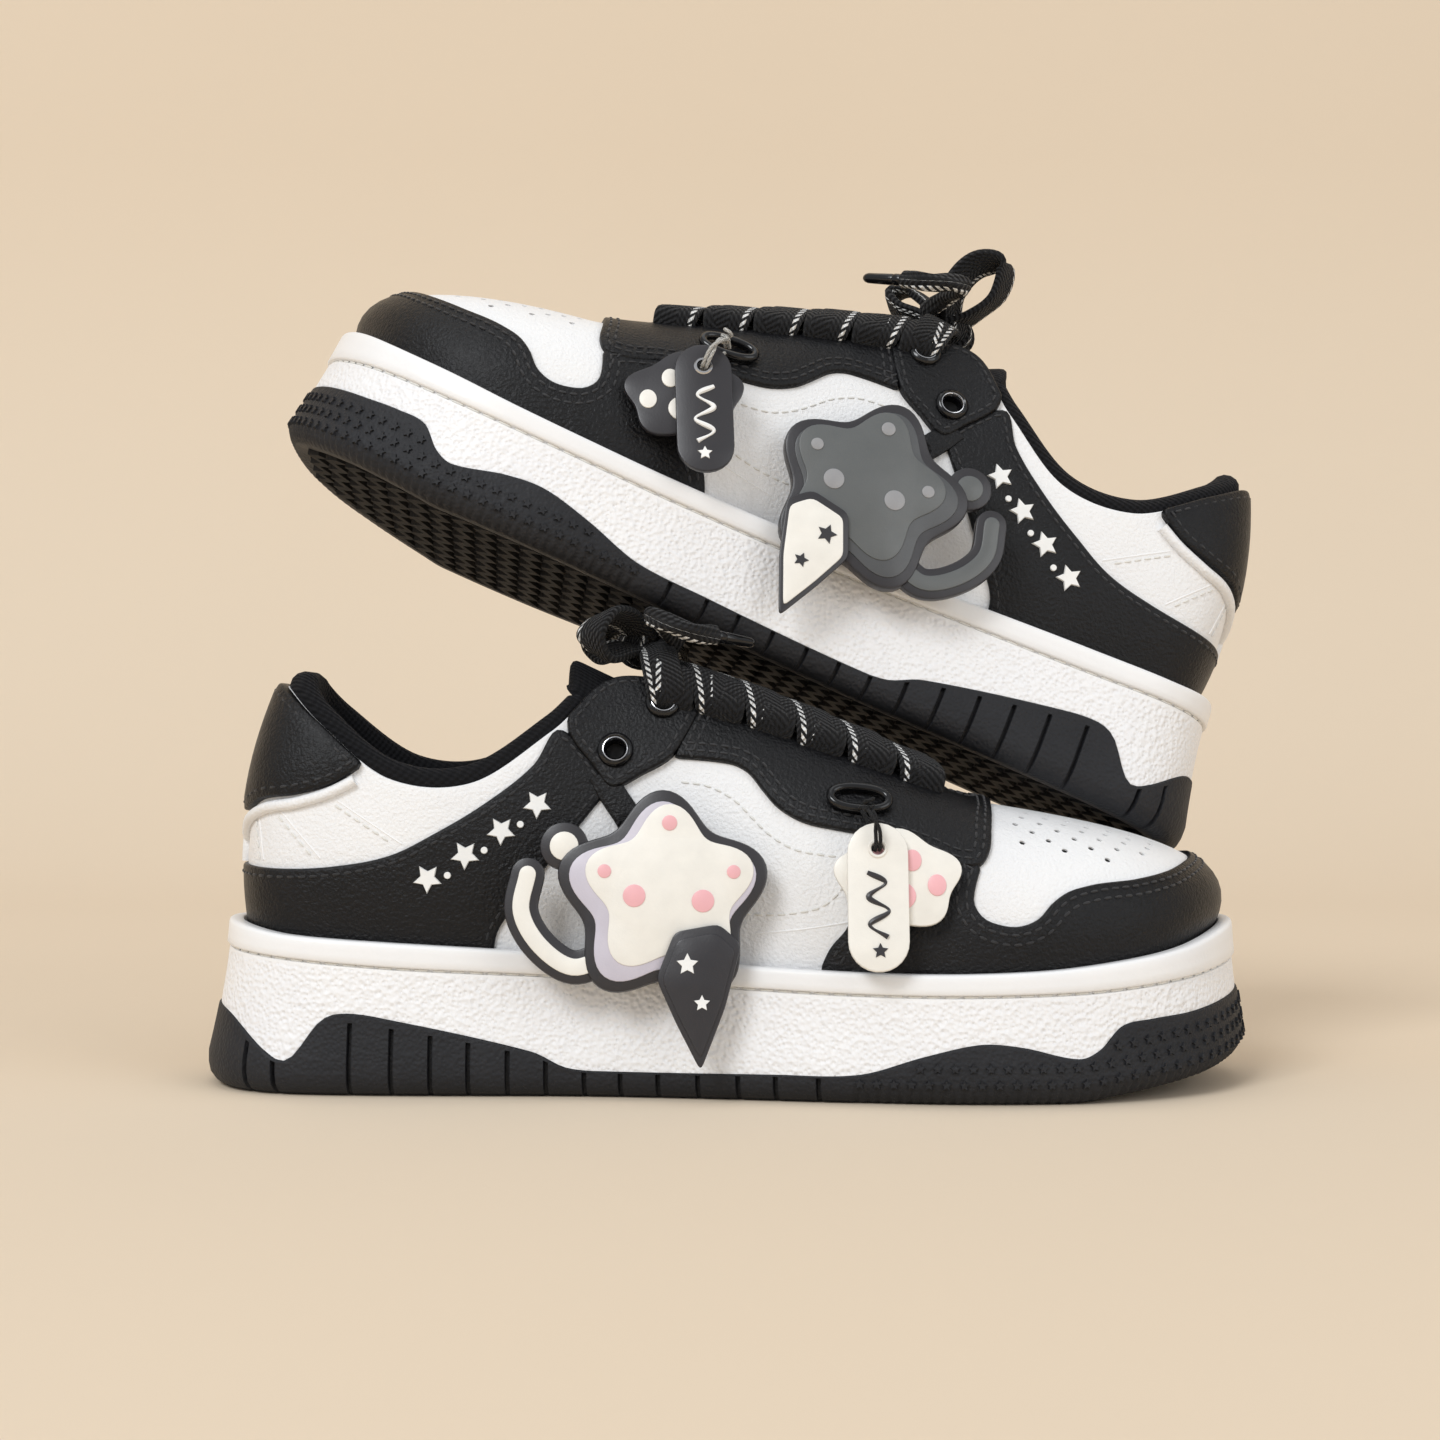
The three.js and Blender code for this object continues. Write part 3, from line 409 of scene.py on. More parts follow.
def filled(outer, holes, inner):
    """Triangles between an outer loop and holes, through inner points; all points in order."""
    points = np.concatenate([outer, *holes, inner])
    edges, start = [], 0
    for loop in (outer, *holes):
        n = len(loop)
        edges += [(start + i, start + (i + 1) % n) for i in range(n)]
        start += n
    made = delaunay_2d_cdt([Vector(p) for p in points], edges, [], 0, 1e-7)
    place = {k: sources[0] for k, sources in enumerate(made[3]) if sources}
    triangles = np.array([[place.get(i, -1) for i in face] for face in made[2]])
    triangles = triangles[np.all(triangles >= 0, axis=1)]
    middle = points[triangles].mean(axis=1)
    keep = inside(middle, outer)
    for hole in holes:
        keep &= ~inside(middle, hole)
    triangles = triangles[keep]
    a, b, c = (points[triangles[:, k]] for k in range(3))
    flat = (b - a)[:, 0] * (c - a)[:, 1] - (b - a)[:, 1] * (c - a)[:, 0]
    triangles[flat < 0] = triangles[flat < 0][:, ::-1]
    return triangles[np.abs(flat) > 1e-9].tolist()


def resampled(loop, step, place):
    """Points step apart round a closed loop, measured where place puts them."""
    ring = np.concatenate([loop, loop[:1]])
    s = run_length(place(ring))
    at = np.linspace(0, s[-1], max(8, round(s[-1] / step)) + 1)[:-1]
    return np.stack([np.interp(at, s, ring[:, 0]), np.interp(at, s, ring[:, 1])], 1)


def inset(loop, distance):
    """A closed (u, t) loop moved inwards over the surface."""
    p = upper(*loop.T)
    across, rising, normal = spread(*loop.T)
    along = unit(np.roll(p, -1, 0) - np.roll(p, 1, 0))
    step = np.cross(normal, along) * distance
    aa, ab, bb = dot(across, across), dot(across, rising), dot(rising, rising)
    pa, pb = dot(across, step), dot(rising, step)
    det = aa * bb - ab * ab
    return loop + np.concatenate([(pa * bb - pb * ab) / det, (pb * aa - pa * ab) / det], 1)


def on_plane(loop):
    return np.stack([loop[:, 0], loop[:, 1], 0 * loop[:, 0]], 1)


def spot_ring(centre, radius, count=10):
    """A small circle on the surface round (u, t)."""
    across, rising, _ = spread(*centre)
    ex = across / np.linalg.norm(across)
    ey = rising - ex * np.dot(rising, ex)
    ring = []
    for a in round_angles(count):
        want = radius * (math.cos(a) * ex + math.sin(a) * ey / np.linalg.norm(ey))
        ring.append(np.linalg.lstsq(np.stack([across, rising], 1), want, rcond=None)[0] + centre)
    return np.array(ring)


STRETCH = np.array([20.0, 50.0])


def panel(loop, top, low=SEWN_DOWN, edge=0.8, grid=(0.14, 0.055), holes=(), puff=0.0):
    """A piece of leather on the upper with a rounded edge: low and top are its offsets."""
    loop = resampled(anticlockwise(loop), 1.5, lambda ring: upper(*ring.T))
    rows = [on_upper(*loop.T, low)]
    for angle in (0, 35, 65, 90):
        a = math.radians(angle)
        last = inset(loop, edge * (1 - math.cos(a)))
        rows.append(on_upper(*last.T, top - edge * (1 - math.sin(a))))
    circles = [spot_ring(np.array(centre), radius) for centre, radius in holes]
    wide = inset(last, 1.0)
    lo, hi = loop.min(0), loop.max(0)
    gu, gt = np.meshgrid(np.arange(lo[0], hi[0], grid[0]), np.arange(lo[1], hi[1], grid[1]))
    inner = np.stack([gu.ravel(), gt.ravel()], 1)
    inner = inner[inside(inner, wide)]
    for centre, radius in holes:
        away = np.linalg.norm(upper(*inner.T) - upper(*centre), axis=1)
        inner = inner[away > radius + 0.9]
    triangles = filled(last * STRETCH, [c * STRETCH for c in circles], inner * STRETCH)
    flat = np.concatenate([*circles, inner]) if circles else inner
    lift = np.zeros(len(flat))
    if puff:
        rim = rows[-1]
        gap = np.array([np.min(np.linalg.norm(rim - p, axis=1)) for p in upper(*flat.T)])
        lift = puff * (1 - np.exp(-gap / 5))
    points = rows + [on_upper(*flat.T, top + lift)]
    faces = ladder(len(rows), len(loop))
    start = len(rows) * len(loop)
    faces += [tuple(i + start - len(loop) for i in face) for face in triangles]
    total = start + len(flat)
    for circle in circles:
        k = len(circle)
        points.append(on_upper(*circle.T, low))
        faces += [(start + i, start + (i + 1) % k, total + (i + 1) % k, total + i) for i in range(k)]
        start += k
        total += k
    return Shape(np.concatenate(points), faces)


def round_rod(length, radius, flat=1.0):
    """A small capsule along x, for a stitch."""
    angle = round_angles(6)
    rings = []
    for x, r in ((-0.5, 0.25), (-0.4, 0.8), (0, 1), (0.4, 0.8), (0.5, 0.25)):
        y, z = r * radius * np.cos(angle), r * radius * flat * np.sin(angle)
        rings.append(np.stack([np.full(6, x * length), y, z], 1))
    return loft(rings, capped=True)


def star_shape(radius, depth, inner=0.48):
    """A small five-pointed star standing on its back along z."""
    angle = round_angles(10) + math.pi / 2
    reach = radius * np.where(np.arange(10) % 2 == 0, 1, inner)
    base = np.stack([reach * np.cos(angle), reach * np.sin(angle), 0 * angle], 1)
    crown = base * 0.86 + np.array([0, 0, depth])
    points = np.concatenate([base - [0, 0, 0.4], crown, [[0, 0, depth]]])
    faces = ladder(2, 10) + [(10 + i, 10 + (i + 1) % 10, 20) for i in range(10)]
    return Shape(points, faces)


def stitches(path, height, length=2.0, pitch=STITCH_PITCH, radius=0.36, lowest=0.015):
    """A row of stitches along a (u, t) path on the upper."""
    path = np.asarray(path)
    p = upper(*path.T)
    s = run_length(p)
    at = np.arange(pitch / 2, s[-1] - pitch / 2, pitch)
    u, t = np.interp(at, s, path[:, 0]), np.interp(at, s, path[:, 1])
    keep = t > lowest
    at, u, t = at[keep], u[keep], t[keep]
    ahead = upper(np.interp(at + 0.5, s, path[:, 0]), np.interp(at + 0.5, s, path[:, 1]))
    normal = spread(u, t)[2]
    along = ahead - upper(u, t)
    along = unit(along - normal * dot(along, normal))
    rod = round_rod(length, radius, 0.8)
    return scatter(rod, on_upper(u, t, height), along, np.cross(normal, along), normal)


def edge_stitches(loop, distance, height, **settings):
    """Stitches all round a panel, a little in from its edge."""
    loop = resampled(anticlockwise(loop), 1.2, lambda ring: upper(*ring.T))
    line = inset(loop, distance)
    return stitches(np.concatenate([line, line[:1]]), height, **settings)


def plate(outline, front, back, bevel=0.35, hole=None):
    """A flat piece in the X-Z plane with rounded edges, its front towards -Y."""
    outline = anticlockwise(np.asarray(outline, float))
    along = unit(np.roll(outline, -1, 0) - np.roll(outline, 1, 0))
    inward = np.stack([-along[:, 1], along[:, 0]], 1) * bevel

    def stood(flat, y):
        return np.stack([flat[:, 0], np.full(len(flat), y), flat[:, 1]], 1)

    steps = [(1, back), (0.3, back - 0.3 * bevel), (0, back - bevel), (0, front + bevel)]
    steps += [(0.3, front + 0.3 * bevel), (1, front)]
    rows = [stood(outline + inward * share, y) for share, y in steps]
    holes, sides = [], 0
    if hole:
        sides = 16
        angle = round_angles(sides)
        holes = [hole * np.stack([np.cos(angle), np.sin(angle)], 1)]
        rows += [stood(holes[0], front), stood(holes[0], back)]
    triangles = filled(outline + inward, holes, np.zeros((0, 2)))
    n, first = len(outline), len(steps) * len(outline)
    faces = ladder(len(steps), n)
    faces += [tuple(i + first - n for i in face) for face in triangles]
    for face in triangles:
        faces.append(tuple(i if i < n else i - n + first + sides for i in face[::-1]))
    for i in range(sides):
        j = (i + 1) % sides
        faces.append((first + i, first + j, first + sides + j, first + sides + i))
    return Shape(np.concatenate(rows), faces)


# ---- Materials ----


def shade(red, green, blue):
    """A colour from its 0 to 255 screen values."""
    shares = [c / 255 for c in (red, green, blue)]
    dark = 10 / 255
    return (*(c / 12.92 if c <= dark else ((c + 0.055) / 1.055) ** 2.4 for c in shares), 1.0)


def node(tree, kind, inputs=(), **settings):
    made = tree.nodes.new(kind)
    for key, value in settings.items():
        setattr(made, key, value)
    for key, value in dict(inputs).items():
        if isinstance(value, bpy.types.NodeSocket):
            tree.links.new(value, made.inputs[key])
        else:
            made.inputs[key].default_value = value
    return made


class Finish:
    """A material being made: its tree, its shader and where on the piece a point is."""

    def __init__(self, name, roughness, **sockets):
        self.material = bpy.data.materials.new(name)
        self.material.use_nodes = True
        self.tree = self.material.node_tree
        self.shader = self.tree.nodes["Principled BSDF"]
        self.shader.inputs["Roughness"].default_value = roughness
        for key, value in sockets.items():
            self.shader.inputs[key.replace("_", " ")].default_value = value
        self.place = node(self.tree, "ShaderNodeTexCoord").outputs["Object"]
        self.bump = None

    def maths(self, operation, a, b=0.0):
        return node(self.tree, "ShaderNodeMath", {0: a, 1: b}, operation=operation).outputs[0]

    def times(self, a, b):
        return self.maths("MULTIPLY", a, b)

    def plus(self, a, b):
        return self.maths("ADD", a, b)

    def wave(self, a, b):
        return self.maths("SINE", self.times(a, b))

    def from_middle(self, a, middle):
        return self.maths("ABSOLUTE", self.maths("SUBTRACT", a, middle))

    def noise(self, scale, detail=3.0):
        inputs = {"Vector": self.place, "Scale": scale, "Detail": detail}
        return node(self.tree, "ShaderNodeTexNoise", inputs).outputs["Fac"]

    def cells(self, scale):
        inputs = {"Vector": self.place, "Scale": scale}
        made = node(self.tree, "ShaderNodeTexVoronoi", inputs, feature="SMOOTH_F1")
        return made.outputs["Distance"]

    def between(self, fac, low, high):
        inputs = {"Value": fac, "To Min": low, "To Max": high}
        return node(self.tree, "ShaderNodeMapRange", inputs).outputs[0]

    def ramp(self, fac, start, end):
        inputs = {"Value": fac, "From Min": start, "From Max": end}
        return node(self.tree, "ShaderNodeMapRange", inputs).outputs[0]

    def mix(self, fac, a, b):
        made = node(self.tree, "ShaderNodeMix", {0: fac, 6: a, 7: b}, data_type="RGBA")
        return made.outputs[2]

    def colour(self, socket):
        self.tree.links.new(socket, self.shader.inputs["Base Color"])

    def rough(self, socket):
        self.tree.links.new(socket, self.shader.inputs["Roughness"])

    def raise_by(self, height, distance, strength=1.0):
        inputs = {"Height": height, "Distance": distance, "Strength": strength}
        if self.bump:
            inputs["Normal"] = self.bump
        self.bump = node(self.tree, "ShaderNodeBump", inputs).outputs[0]
        self.tree.links.new(self.bump, self.shader.inputs["Normal"])


def leather(name, base, worn, roughness, grain):
    """Pebbled coated leather with fine creases and a slightly uneven colour."""
    made = Finish(name, roughness, Specular_IOR_Level=0.28, Coat_Weight=0.04, Coat_Roughness=0.3)
    pebbles = made.noise(1150, 3)
    pores = made.noise(1400, 2)
    creases = made.noise(60, 4)
    patches = made.noise(28, 3)
    made.colour(made.mix(made.ramp(patches, 0.35, 0.75), base, worn))
    made.rough(made.between(made.noise(160, 4), roughness - 0.08, roughness + 0.1))
    made.raise_by(creases, 0.0005, 0.2)
    made.raise_by(pebbles, grain, 0.8)
    made.raise_by(pores, 0.00006, 0.5)
    return made.material


def rubber(name, base, worn, roughness, grain, scale):
    """Moulded rubber: grain is the depth of its pebbles."""
    made = Finish(name, roughness, Specular_IOR_Level=0.36)
    made.colour(made.mix(made.ramp(made.noise(35, 4), 0.4, 0.8), base, worn))
    made.rough(made.between(made.noise(220, 3), roughness - 0.06, roughness + 0.08))
    made.raise_by(made.cells(scale), grain, 0.9)
    made.raise_by(made.noise(900, 2), 0.00006, 0.4)
    return made.material


def knit(name, base, light, loops=560):
    """Fine knitted lining cloth."""
    made = Finish(name, 0.92, Specular_IOR_Level=0.25, Sheen_Weight=0.12, Sheen_Roughness=0.5)
    made.shader.inputs["Sheen Tint"].default_value = shade(120, 120, 126)
    x, y, z = node(made.tree, "ShaderNodeSeparateXYZ", {0: made.place}).outputs
    weave = made.times(made.wave(z, loops * 2 * math.pi), made.wave(made.plus(x, y), loops * 4.4))
    made.colour(made.mix(made.ramp(weave, -1.0, 1.0), base, light))
    made.raise_by(weave, 0.0004, 0.7)
    made.raise_by(made.noise(1500, 2), 0.0002, 0.5)
    return made.material


def braid(name, base, thread, tracer, dash=2.0):
    """Flat lace braid with a dashed tracer near one edge; u runs along it in millimetres."""
    made = Finish(name, 0.82, Specular_IOR_Level=0.3, Sheen_Weight=0.08, Sheen_Roughness=0.5)
    uv = node(made.tree, "ShaderNodeUVMap", uv_map="along").outputs[0]
    u, v, _ = node(made.tree, "ShaderNodeSeparateXYZ", {0: uv}).outputs
    chevron = made.wave(made.plus(u, made.times(made.from_middle(v, 0.5), 9.0)), 4.2)
    weave = made.plus(made.times(chevron, 0.7), made.times(made.wave(v, 62.0), 0.5))
    cloth = made.mix(made.ramp(weave, -1.2, 1.2), base, thread)
    if tracer:
        near = made.maths("LESS_THAN", made.from_middle(v, 0.15), 0.06)
        slanted = made.plus(u, made.times(v, 12.0))
        share = made.maths("FRACT", made.maths("DIVIDE", slanted, dash))
        dashes = made.times(near, made.maths("LESS_THAN", share, 0.52))
        cloth = made.mix(dashes, cloth, tracer)
    made.colour(cloth)
    made.raise_by(weave, 0.00045, 0.9)
    made.raise_by(made.noise(1300, 2), 0.00015, 0.5)
    return made.material


def gloss(name, base, roughness, metallic=0.0):
    """Lacquered or bare metal with fine handling marks."""
    made = Finish(name, roughness, Metallic=metallic)
    scuffs = made.noise(420, 6)
    worn = (*(0.8 * c for c in base[:3]), 1.0)
    made.colour(made.mix(made.ramp(scuffs, 0.3, 0.9), base, worn))
    made.rough(made.between(scuffs, roughness * 0.7, roughness * 1.6))
    made.raise_by(scuffs, 0.00003, 0.3)
    return made.material


def printed(name, base, roughness=0.42):
    """Printed foam-backed sheet: a faint paper tooth under a thin clear coat."""
    made = Finish(name, roughness, Coat_Weight=0.25, Coat_Roughness=0.25)
    worn = tuple(min(1.0, c * 0.93) for c in base[:3]) + (1.0,)
    made.colour(made.mix(made.ramp(made.noise(180, 5), 0.35, 0.75), base, worn))
    made.rough(made.between(made.noise(300, 3), roughness - 0.06, roughness + 0.08))
    made.raise_by(made.noise(2200, 2), 0.00006, 0.6)
    made.raise_by(made.noise(45, 2), 0.0006, 0.2)
    return made.material


def thread(name, base, light):
    """Twisted sewing thread."""
    made = Finish(name, 0.6, Sheen_Weight=0.2)
    made.colour(made.mix(made.noise(2600, 2), base, light))
    made.raise_by(made.noise(3000, 1), 0.0001, 0.5)
    return made.material


LOOKS = {
    "black leather": leather("black_leather", shade(8, 8, 10), shade(15, 15, 18), 0.4, 0.0006),
    "white leather": leather("white_leather", shade(242, 242, 242), shade(236, 236, 237), 0.42, 0.0005),
    "smooth white": rubber(
        "white_rubber_smooth", shade(244, 244, 244), shade(238, 238, 239), 0.34, 0.00004, 900,
    ),
    "pebbled white": rubber(
        "white_rubber_pebbled", shade(244, 244, 245), shade(238, 238, 240), 0.46, 0.0006, 900,
    ),
    "black rubber": rubber("black_rubber", shade(27, 28, 32), shade(36, 37, 41), 0.62, 0.0003, 1100),
    # The tread rubber is a darker copy of the black rubber. Its darker base is painted shade on the bottom
    # that faces the floor; its higher roughness is the rubber's own.
    "tread rubber": rubber("tread_rubber", shade(10, 10, 12), shade(20, 20, 22), 0.85, 0.0002, 1100),
    "knit": knit("black_knit", shade(8, 8, 10), shade(21, 21, 24)),
    "braid": braid("black_braid", shade(7, 7, 8), shade(24, 24, 27), shade(238, 238, 236)),
    "plain braid": braid("black_cord", shade(7, 7, 8), shade(24, 24, 27), None),
    "white cord": braid("white_cord", shade(205, 203, 197), shade(240, 238, 232), None),
    "gloss": gloss("black_gloss", shade(12, 12, 14), 0.14),
    "silver": gloss("silver_rim", shade(206, 206, 208), 0.18, 1.0),
    # The hole material is a near-black sheet set inside the perforations and eyelets: painted shade where a
    # hole is dark.
    "hole": gloss("dark_hole", shade(6, 6, 7), 0.8),
    "cream": printed("cream_print", shade(240, 237, 229)),
    "dark": printed("dark_print", shade(38, 36, 40)),
    "grey": printed("grey_print", shade(92, 95, 95)),
    "lilac": printed("lilac_print", shade(203, 198, 210)),
    "slate": printed("slate_print", shade(74, 76, 78)),
    "pink": printed("pink_print", shade(241, 182, 187)),
    "mist": printed("mist_print", shade(150, 150, 152)),
    "mark": printed("white_mark", shade(244, 244, 242), 0.5),
    "board": printed("fibre_board", shade(185, 169, 140), 0.85),
    "black thread": thread("black_thread", shade(14, 14, 16), shade(40, 40, 43)),
    "white thread": thread("white_thread", shade(214, 213, 208), shade(240, 239, 235)),
}

# ---- Putting pieces down ----


def turned(axis, degrees):
    return Matrix.Rotation(math.radians(degrees), 4, axis)


TOE_UP, LEAN_SIDEWAYS, YAW = 23.7, -6.6, 5.3
LEFT_X, LEFT_Y = -2.8, 32.3
mirrored = turned("Z", YAW) @ turned("X", LEAN_SIDEWAYS) @ turned("Y", TOE_UP)
mirrored = mirrored @ Matrix.Diagonal((-1, 1, 1, 1))
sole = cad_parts["right_outsole"]
lowest = min((mirrored @ (sole.matrix_world @ v.co)).z for v in sole.data.vertices)
LEFT_Z = (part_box("left_outsole")[0][2] - lowest) / MM
SHOES = {
    "right": Matrix.Identity(4),
    "left": Matrix.Translation((LEFT_X, LEFT_Y, LEFT_Z)) @ mirrored,
}


def to_world(side, points):
    """Millimetres on the pattern to metres in the row frame."""
    m = np.array(SHOES[side])
    return (np.asarray(points) @ m[:3, :3].T + m[:3, 3]) * MM


def put(side, name, shape, looks, body="shoe", nodes=(), slot=None, sharp=38):
    """One piece on one shoe: it rides on a body and stands for CAD nodes."""
    faces = shape.faces if side == "right" else [face[::-1] for face in shape.faces]
    mesh = bpy.data.meshes.new(f"{side}_{name}")
    mesh.from_pydata(to_world(side, shape.points).tolist(), [], faces)
    for look in [looks] if isinstance(looks, str) else looks:
        mesh.materials.append(LOOKS[look])
    if shape.looks:
        mesh.polygons.foreach_set("material_index", shape.looks)
    if shape.uv is not None:
        corners = np.zeros(len(mesh.loops), int)
        mesh.loops.foreach_get("vertex_index", corners)
        layer = mesh.uv_layers.new(name="along")
        layer.data.foreach_set("uv", np.asarray(shape.uv)[corners].ravel())
    mesh.polygons.foreach_set("use_smooth", [True] * len(mesh.polygons))
    mesh.set_sharp_from_angle(angle=math.radians(sharp))
    mesh.update()
    piece = bpy.data.objects.new(f"{side}_{name}", mesh)
    bpy.context.scene.collection.objects.link(piece)
    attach(piece, f"{side}_{body}")
    if nodes:
        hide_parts(*(f"{side}_{n}" for n in nodes))
    return piece


# ---- Camera, floor and light ----


def camera_and_light():
    data = bpy.data.cameras.new("view")
    data.lens = 61.2
    data.sensor_width = 36
    camera = bpy.data.objects.new("view", data)
    camera.location = (-0.0028, -0.650, 0.0943)
    camera.rotation_euler = (math.pi / 2, 0, 0)
    bpy.context.scene.collection.objects.link(camera)
    bpy.context.scene.camera = camera

    paper = Finish("paper", 0.9)
    paper.colour(paper.mix(paper.noise(3, 2), shade(227, 210, 187), shade(224, 207, 184)))
    half, front, back, bend, height, below_sole = 6.0, -8.0, 0.6, 0.5, 4.0, 0.0002
    profile = [(front, 0.0), (back, 0.0)]
    for k in range(1, 13):
        a = k * math.pi / 24
        profile.append((back + bend * math.sin(a), bend * (1 - math.cos(a))))
    profile.append((back + bend, height))
    points = [(x, y, z - below_sole) for y, z in profile for x in (-half, half)]
    quads = [(2 * i, 2 * i + 1, 2 * i + 3, 2 * i + 2) for i in range(len(profile) - 1)]
    mesh = bpy.data.meshes.new("backdrop")
    mesh.from_pydata(points, [], quads)
    mesh.materials.append(paper.material)
    mesh.polygons.foreach_set("use_smooth", [True] * len(mesh.polygons))
    backdrop = bpy.data.objects.new("backdrop", mesh)
    bpy.context.scene.collection.objects.link(backdrop)

    bpy.context.scene.view_settings.view_transform = "Standard"
    world = bpy.data.worlds.new("studio")
    world.use_nodes = True
    sky = world.node_tree.nodes["Background"].inputs
    sky["Color"].default_value = shade(250, 252, 255)
    sky["Strength"].default_value = 0.57
    bpy.context.scene.world = world
    for name, place, size, power in (
        ("key", (-1.5, -2.4, 2.4), 1.4, 62),
        ("fill", (2.2, -2.0, 1.2), 1.8, 18),
        ("top", (0.0, 0.2, 3.0), 2.0, 10),
    ):
        lamp = bpy.data.lights.new(name, "AREA")
        lamp.energy = power
        lamp.size = size
        lamp.color = (0.95, 0.975, 1.0)
        light = bpy.data.objects.new(name, lamp)
        light.location = place
        towards = Vector((0, 0, 0.1)) - Vector(place)
        light.rotation_euler = towards.to_track_quat("-Z", "Y").to_euler()
        bpy.context.scene.collection.objects.link(light)


# ---- Laces: the free tails are cords ----


def lace_height(x, y):
    beyond = np.maximum(0, np.abs(y) - THROAT_HALF)
    return read(THROAT_LINE, x) + 9.5 - 0.32 * beyond - 0.006 * y * y


KNOT = np.array([KNOT_X, 0, float(lace_height(KNOT_X, 0.0))])


def lace_tails(side):
    for label, route in TAILS.items():
        path = KNOT + smooth_path(route, 1.0)
        end, before = path[-1], path[-2]
        direction = unit(end - before)
        start = end + direction * CLEARANCE
        along = [0, 0.3, 0.8, 2.2, 2.6, 3.0, 10.5, 11.4, AGLET_LENGTH]
        radii = [1.2, 1.6, 1.7, 1.7, 1.5, 1.6, 1.45, 1.2, 0.7]
        tip = tube([start + direction * a for a in along], radii, 16)
        aglet = put(side, f"aglet_{label}_tip", tip, "gloss", nodes=[f"aglet_{label}"], slot="gloss_black")
        bunched = tube(path, TAIL_DIAMETER / 2, 18, lobes=0.12)
        tail = put(side, f"tail_{label}", bunched, "braid", nodes=[f"lace_tail_{label}"], slot="braid")


def throat_place(x, side, t, offset):
    """A point on the eyestay at x, on the lateral (-1) or medial (1) side."""
    u = rim_at(x)[0]
    return on_upper(u if side < 0 else TURNS - u, t, offset)


def lace_rows(side):
    """Two lengths of braid crossing from side to side up the throat, then the bow."""
    xs = np.linspace(FIRST_ROW_X, LAST_ROW_X, LACE_ROWS)

    def over_edge(x, way, lean):
        low = throat_place(x, way, 0.86, 1.0)
        out = throat_place(x + lean, way, 0.88, 5.4)
        crest = throat_place(x + 2 * lean, way, 0.99, 5.6) + [0, 0, 1.6]
        return [low, out, crest]

    def crossing(x_from, x_to, way, lift):
        lean = (x_to - x_from) * 0.06
        first = over_edge(x_from, way, lean)
        last = over_edge(x_to, -way, -lean)[::-1]
        middle = []
        for share in (0.3, 0.5, 0.7):
            x = x_from + (x_to - x_from) * share
            y = way * THROAT_HALF * (1 - 2 * share)
            middle.append(np.array([x, y, float(lace_height(x, y)) - 2.6 + lift]))
        path = smooth_path([*first, *middle, *last], 1.0)
        wide = np.tile([1.0, 0.0, -0.35], (len(path), 1))
        return ribbon(path, wide, LACE_WIDTH, LACE_THICKNESS)

    braids = [crossing(xs[0], xs[0], -1, 0.0)]
    for a, b in zip(xs[:-1], xs[1:]):
        braids.append(crossing(a, b, -1, 0.9))
        braids.append(crossing(a, b, 1, -0.9))
    for way in (-1, 1):
        start = over_edge(xs[-1], way, -0.5)
        knot = [KNOT + [2, way * 7, 1.0], KNOT + [0, way * 2.5, 2.5]]
        path = smooth_path([*start, *knot], 1.0)
        wide = np.tile([1.0, 0, 0.1], (len(path), 1))
        braids.append(ribbon(path, wide, LACE_WIDTH - 1, LACE_THICKNESS))
    put(side, "lace_rows", joined(braids), "braid", nodes=["lace"], slot="braid")

    bow = []
    for loop in LOOPS[side]:
        path = KNOT + smooth_path(loop, 1.0)
        reach = path[len(path) // 2] - path[0]
        flat = np.array([-reach[1], reach[0], 0.0])
        twist = np.sin(np.linspace(0, 2 * math.pi, len(path)))[:, None]
        wide = np.tile(unit(flat), (len(path), 1)) + twist * np.array([0.1, 0.1, 0.5])
        bow.append(ribbon(path, wide, 9.0, 2.6))
    angle = np.linspace(0, 2 * math.pi, 29)
    for tilt, size in ((-18, 7.0), (14, 6.6), (60, 6.0)):
        lean = math.radians(tilt)
        x, y = size * np.cos(angle) * math.cos(lean), size * np.cos(angle) * math.sin(lean)
        ring = np.stack([x, y, 0.72 * size * np.sin(angle)], 1)
        wide = np.tile([-math.sin(lean), math.cos(lean), 0.15], (len(ring), 1))
        bow.append(ribbon(KNOT + [0, 0, 2] + ring, wide, 7.5, 2.4))
    put(side, "lace_bow", joined(bow), "braid", slot="braid")


# ---- Sole ----


def wall(u, z):
    """How far the side wall stands outside the lip at a height."""
    x = on_ring(LIP_RING, u)[..., 0]
    lip = read(LIP_LINE, x)
    share = np.clip((lip - z) / (lip - FLARE_FOOT), 0, 1)
    return read(FLARE_LINE, x) * share**1.5


def ring_at(u, offset, z):
    p = plan(u, np.broadcast_to(offset, u.shape))
    p[:, 2] = z
    return p


def sole_columns():
    """Stations round the sole, close together at the sipes and along the toothed forefoot."""
    us = np.linspace(0, TOE, 2601)
    p = on_ring(LIP_RING, us)
    s = run_length(p)
    cuts = [np.interp(x, p[:, 0], s) for x in SIPES]
    front = np.interp(30, p[:, 0], s)
    marks = set(np.round(np.arange(0, front, 1.9), 3)) | set(np.round(np.arange(front, s[-1], 0.65), 3))
    marks = {m for m in marks if all(abs(m - c) > 1.6 for c in cuts)}
    marks |= {c + d for c in cuts for d in (-0.65, -0.4, 0.4, 0.65)} | {0.0, s[-1]}
    at = np.array(sorted(marks))
    lateral = np.interp(at, s, us)
    cut = np.array([any(abs(m - c) < 0.5 for c in cuts) for m in at], float)
    teeth = np.where(at > front, 0.5 - 0.5 * np.cos((at - front) * 2 * math.pi / 2.6), 0)
    u = np.concatenate([lateral, TURNS - lateral[-2:0:-1]])
    return u, np.concatenate([cut, cut[-2:0:-1]]), np.concatenate([teeth, teeth[-2:0:-1]])


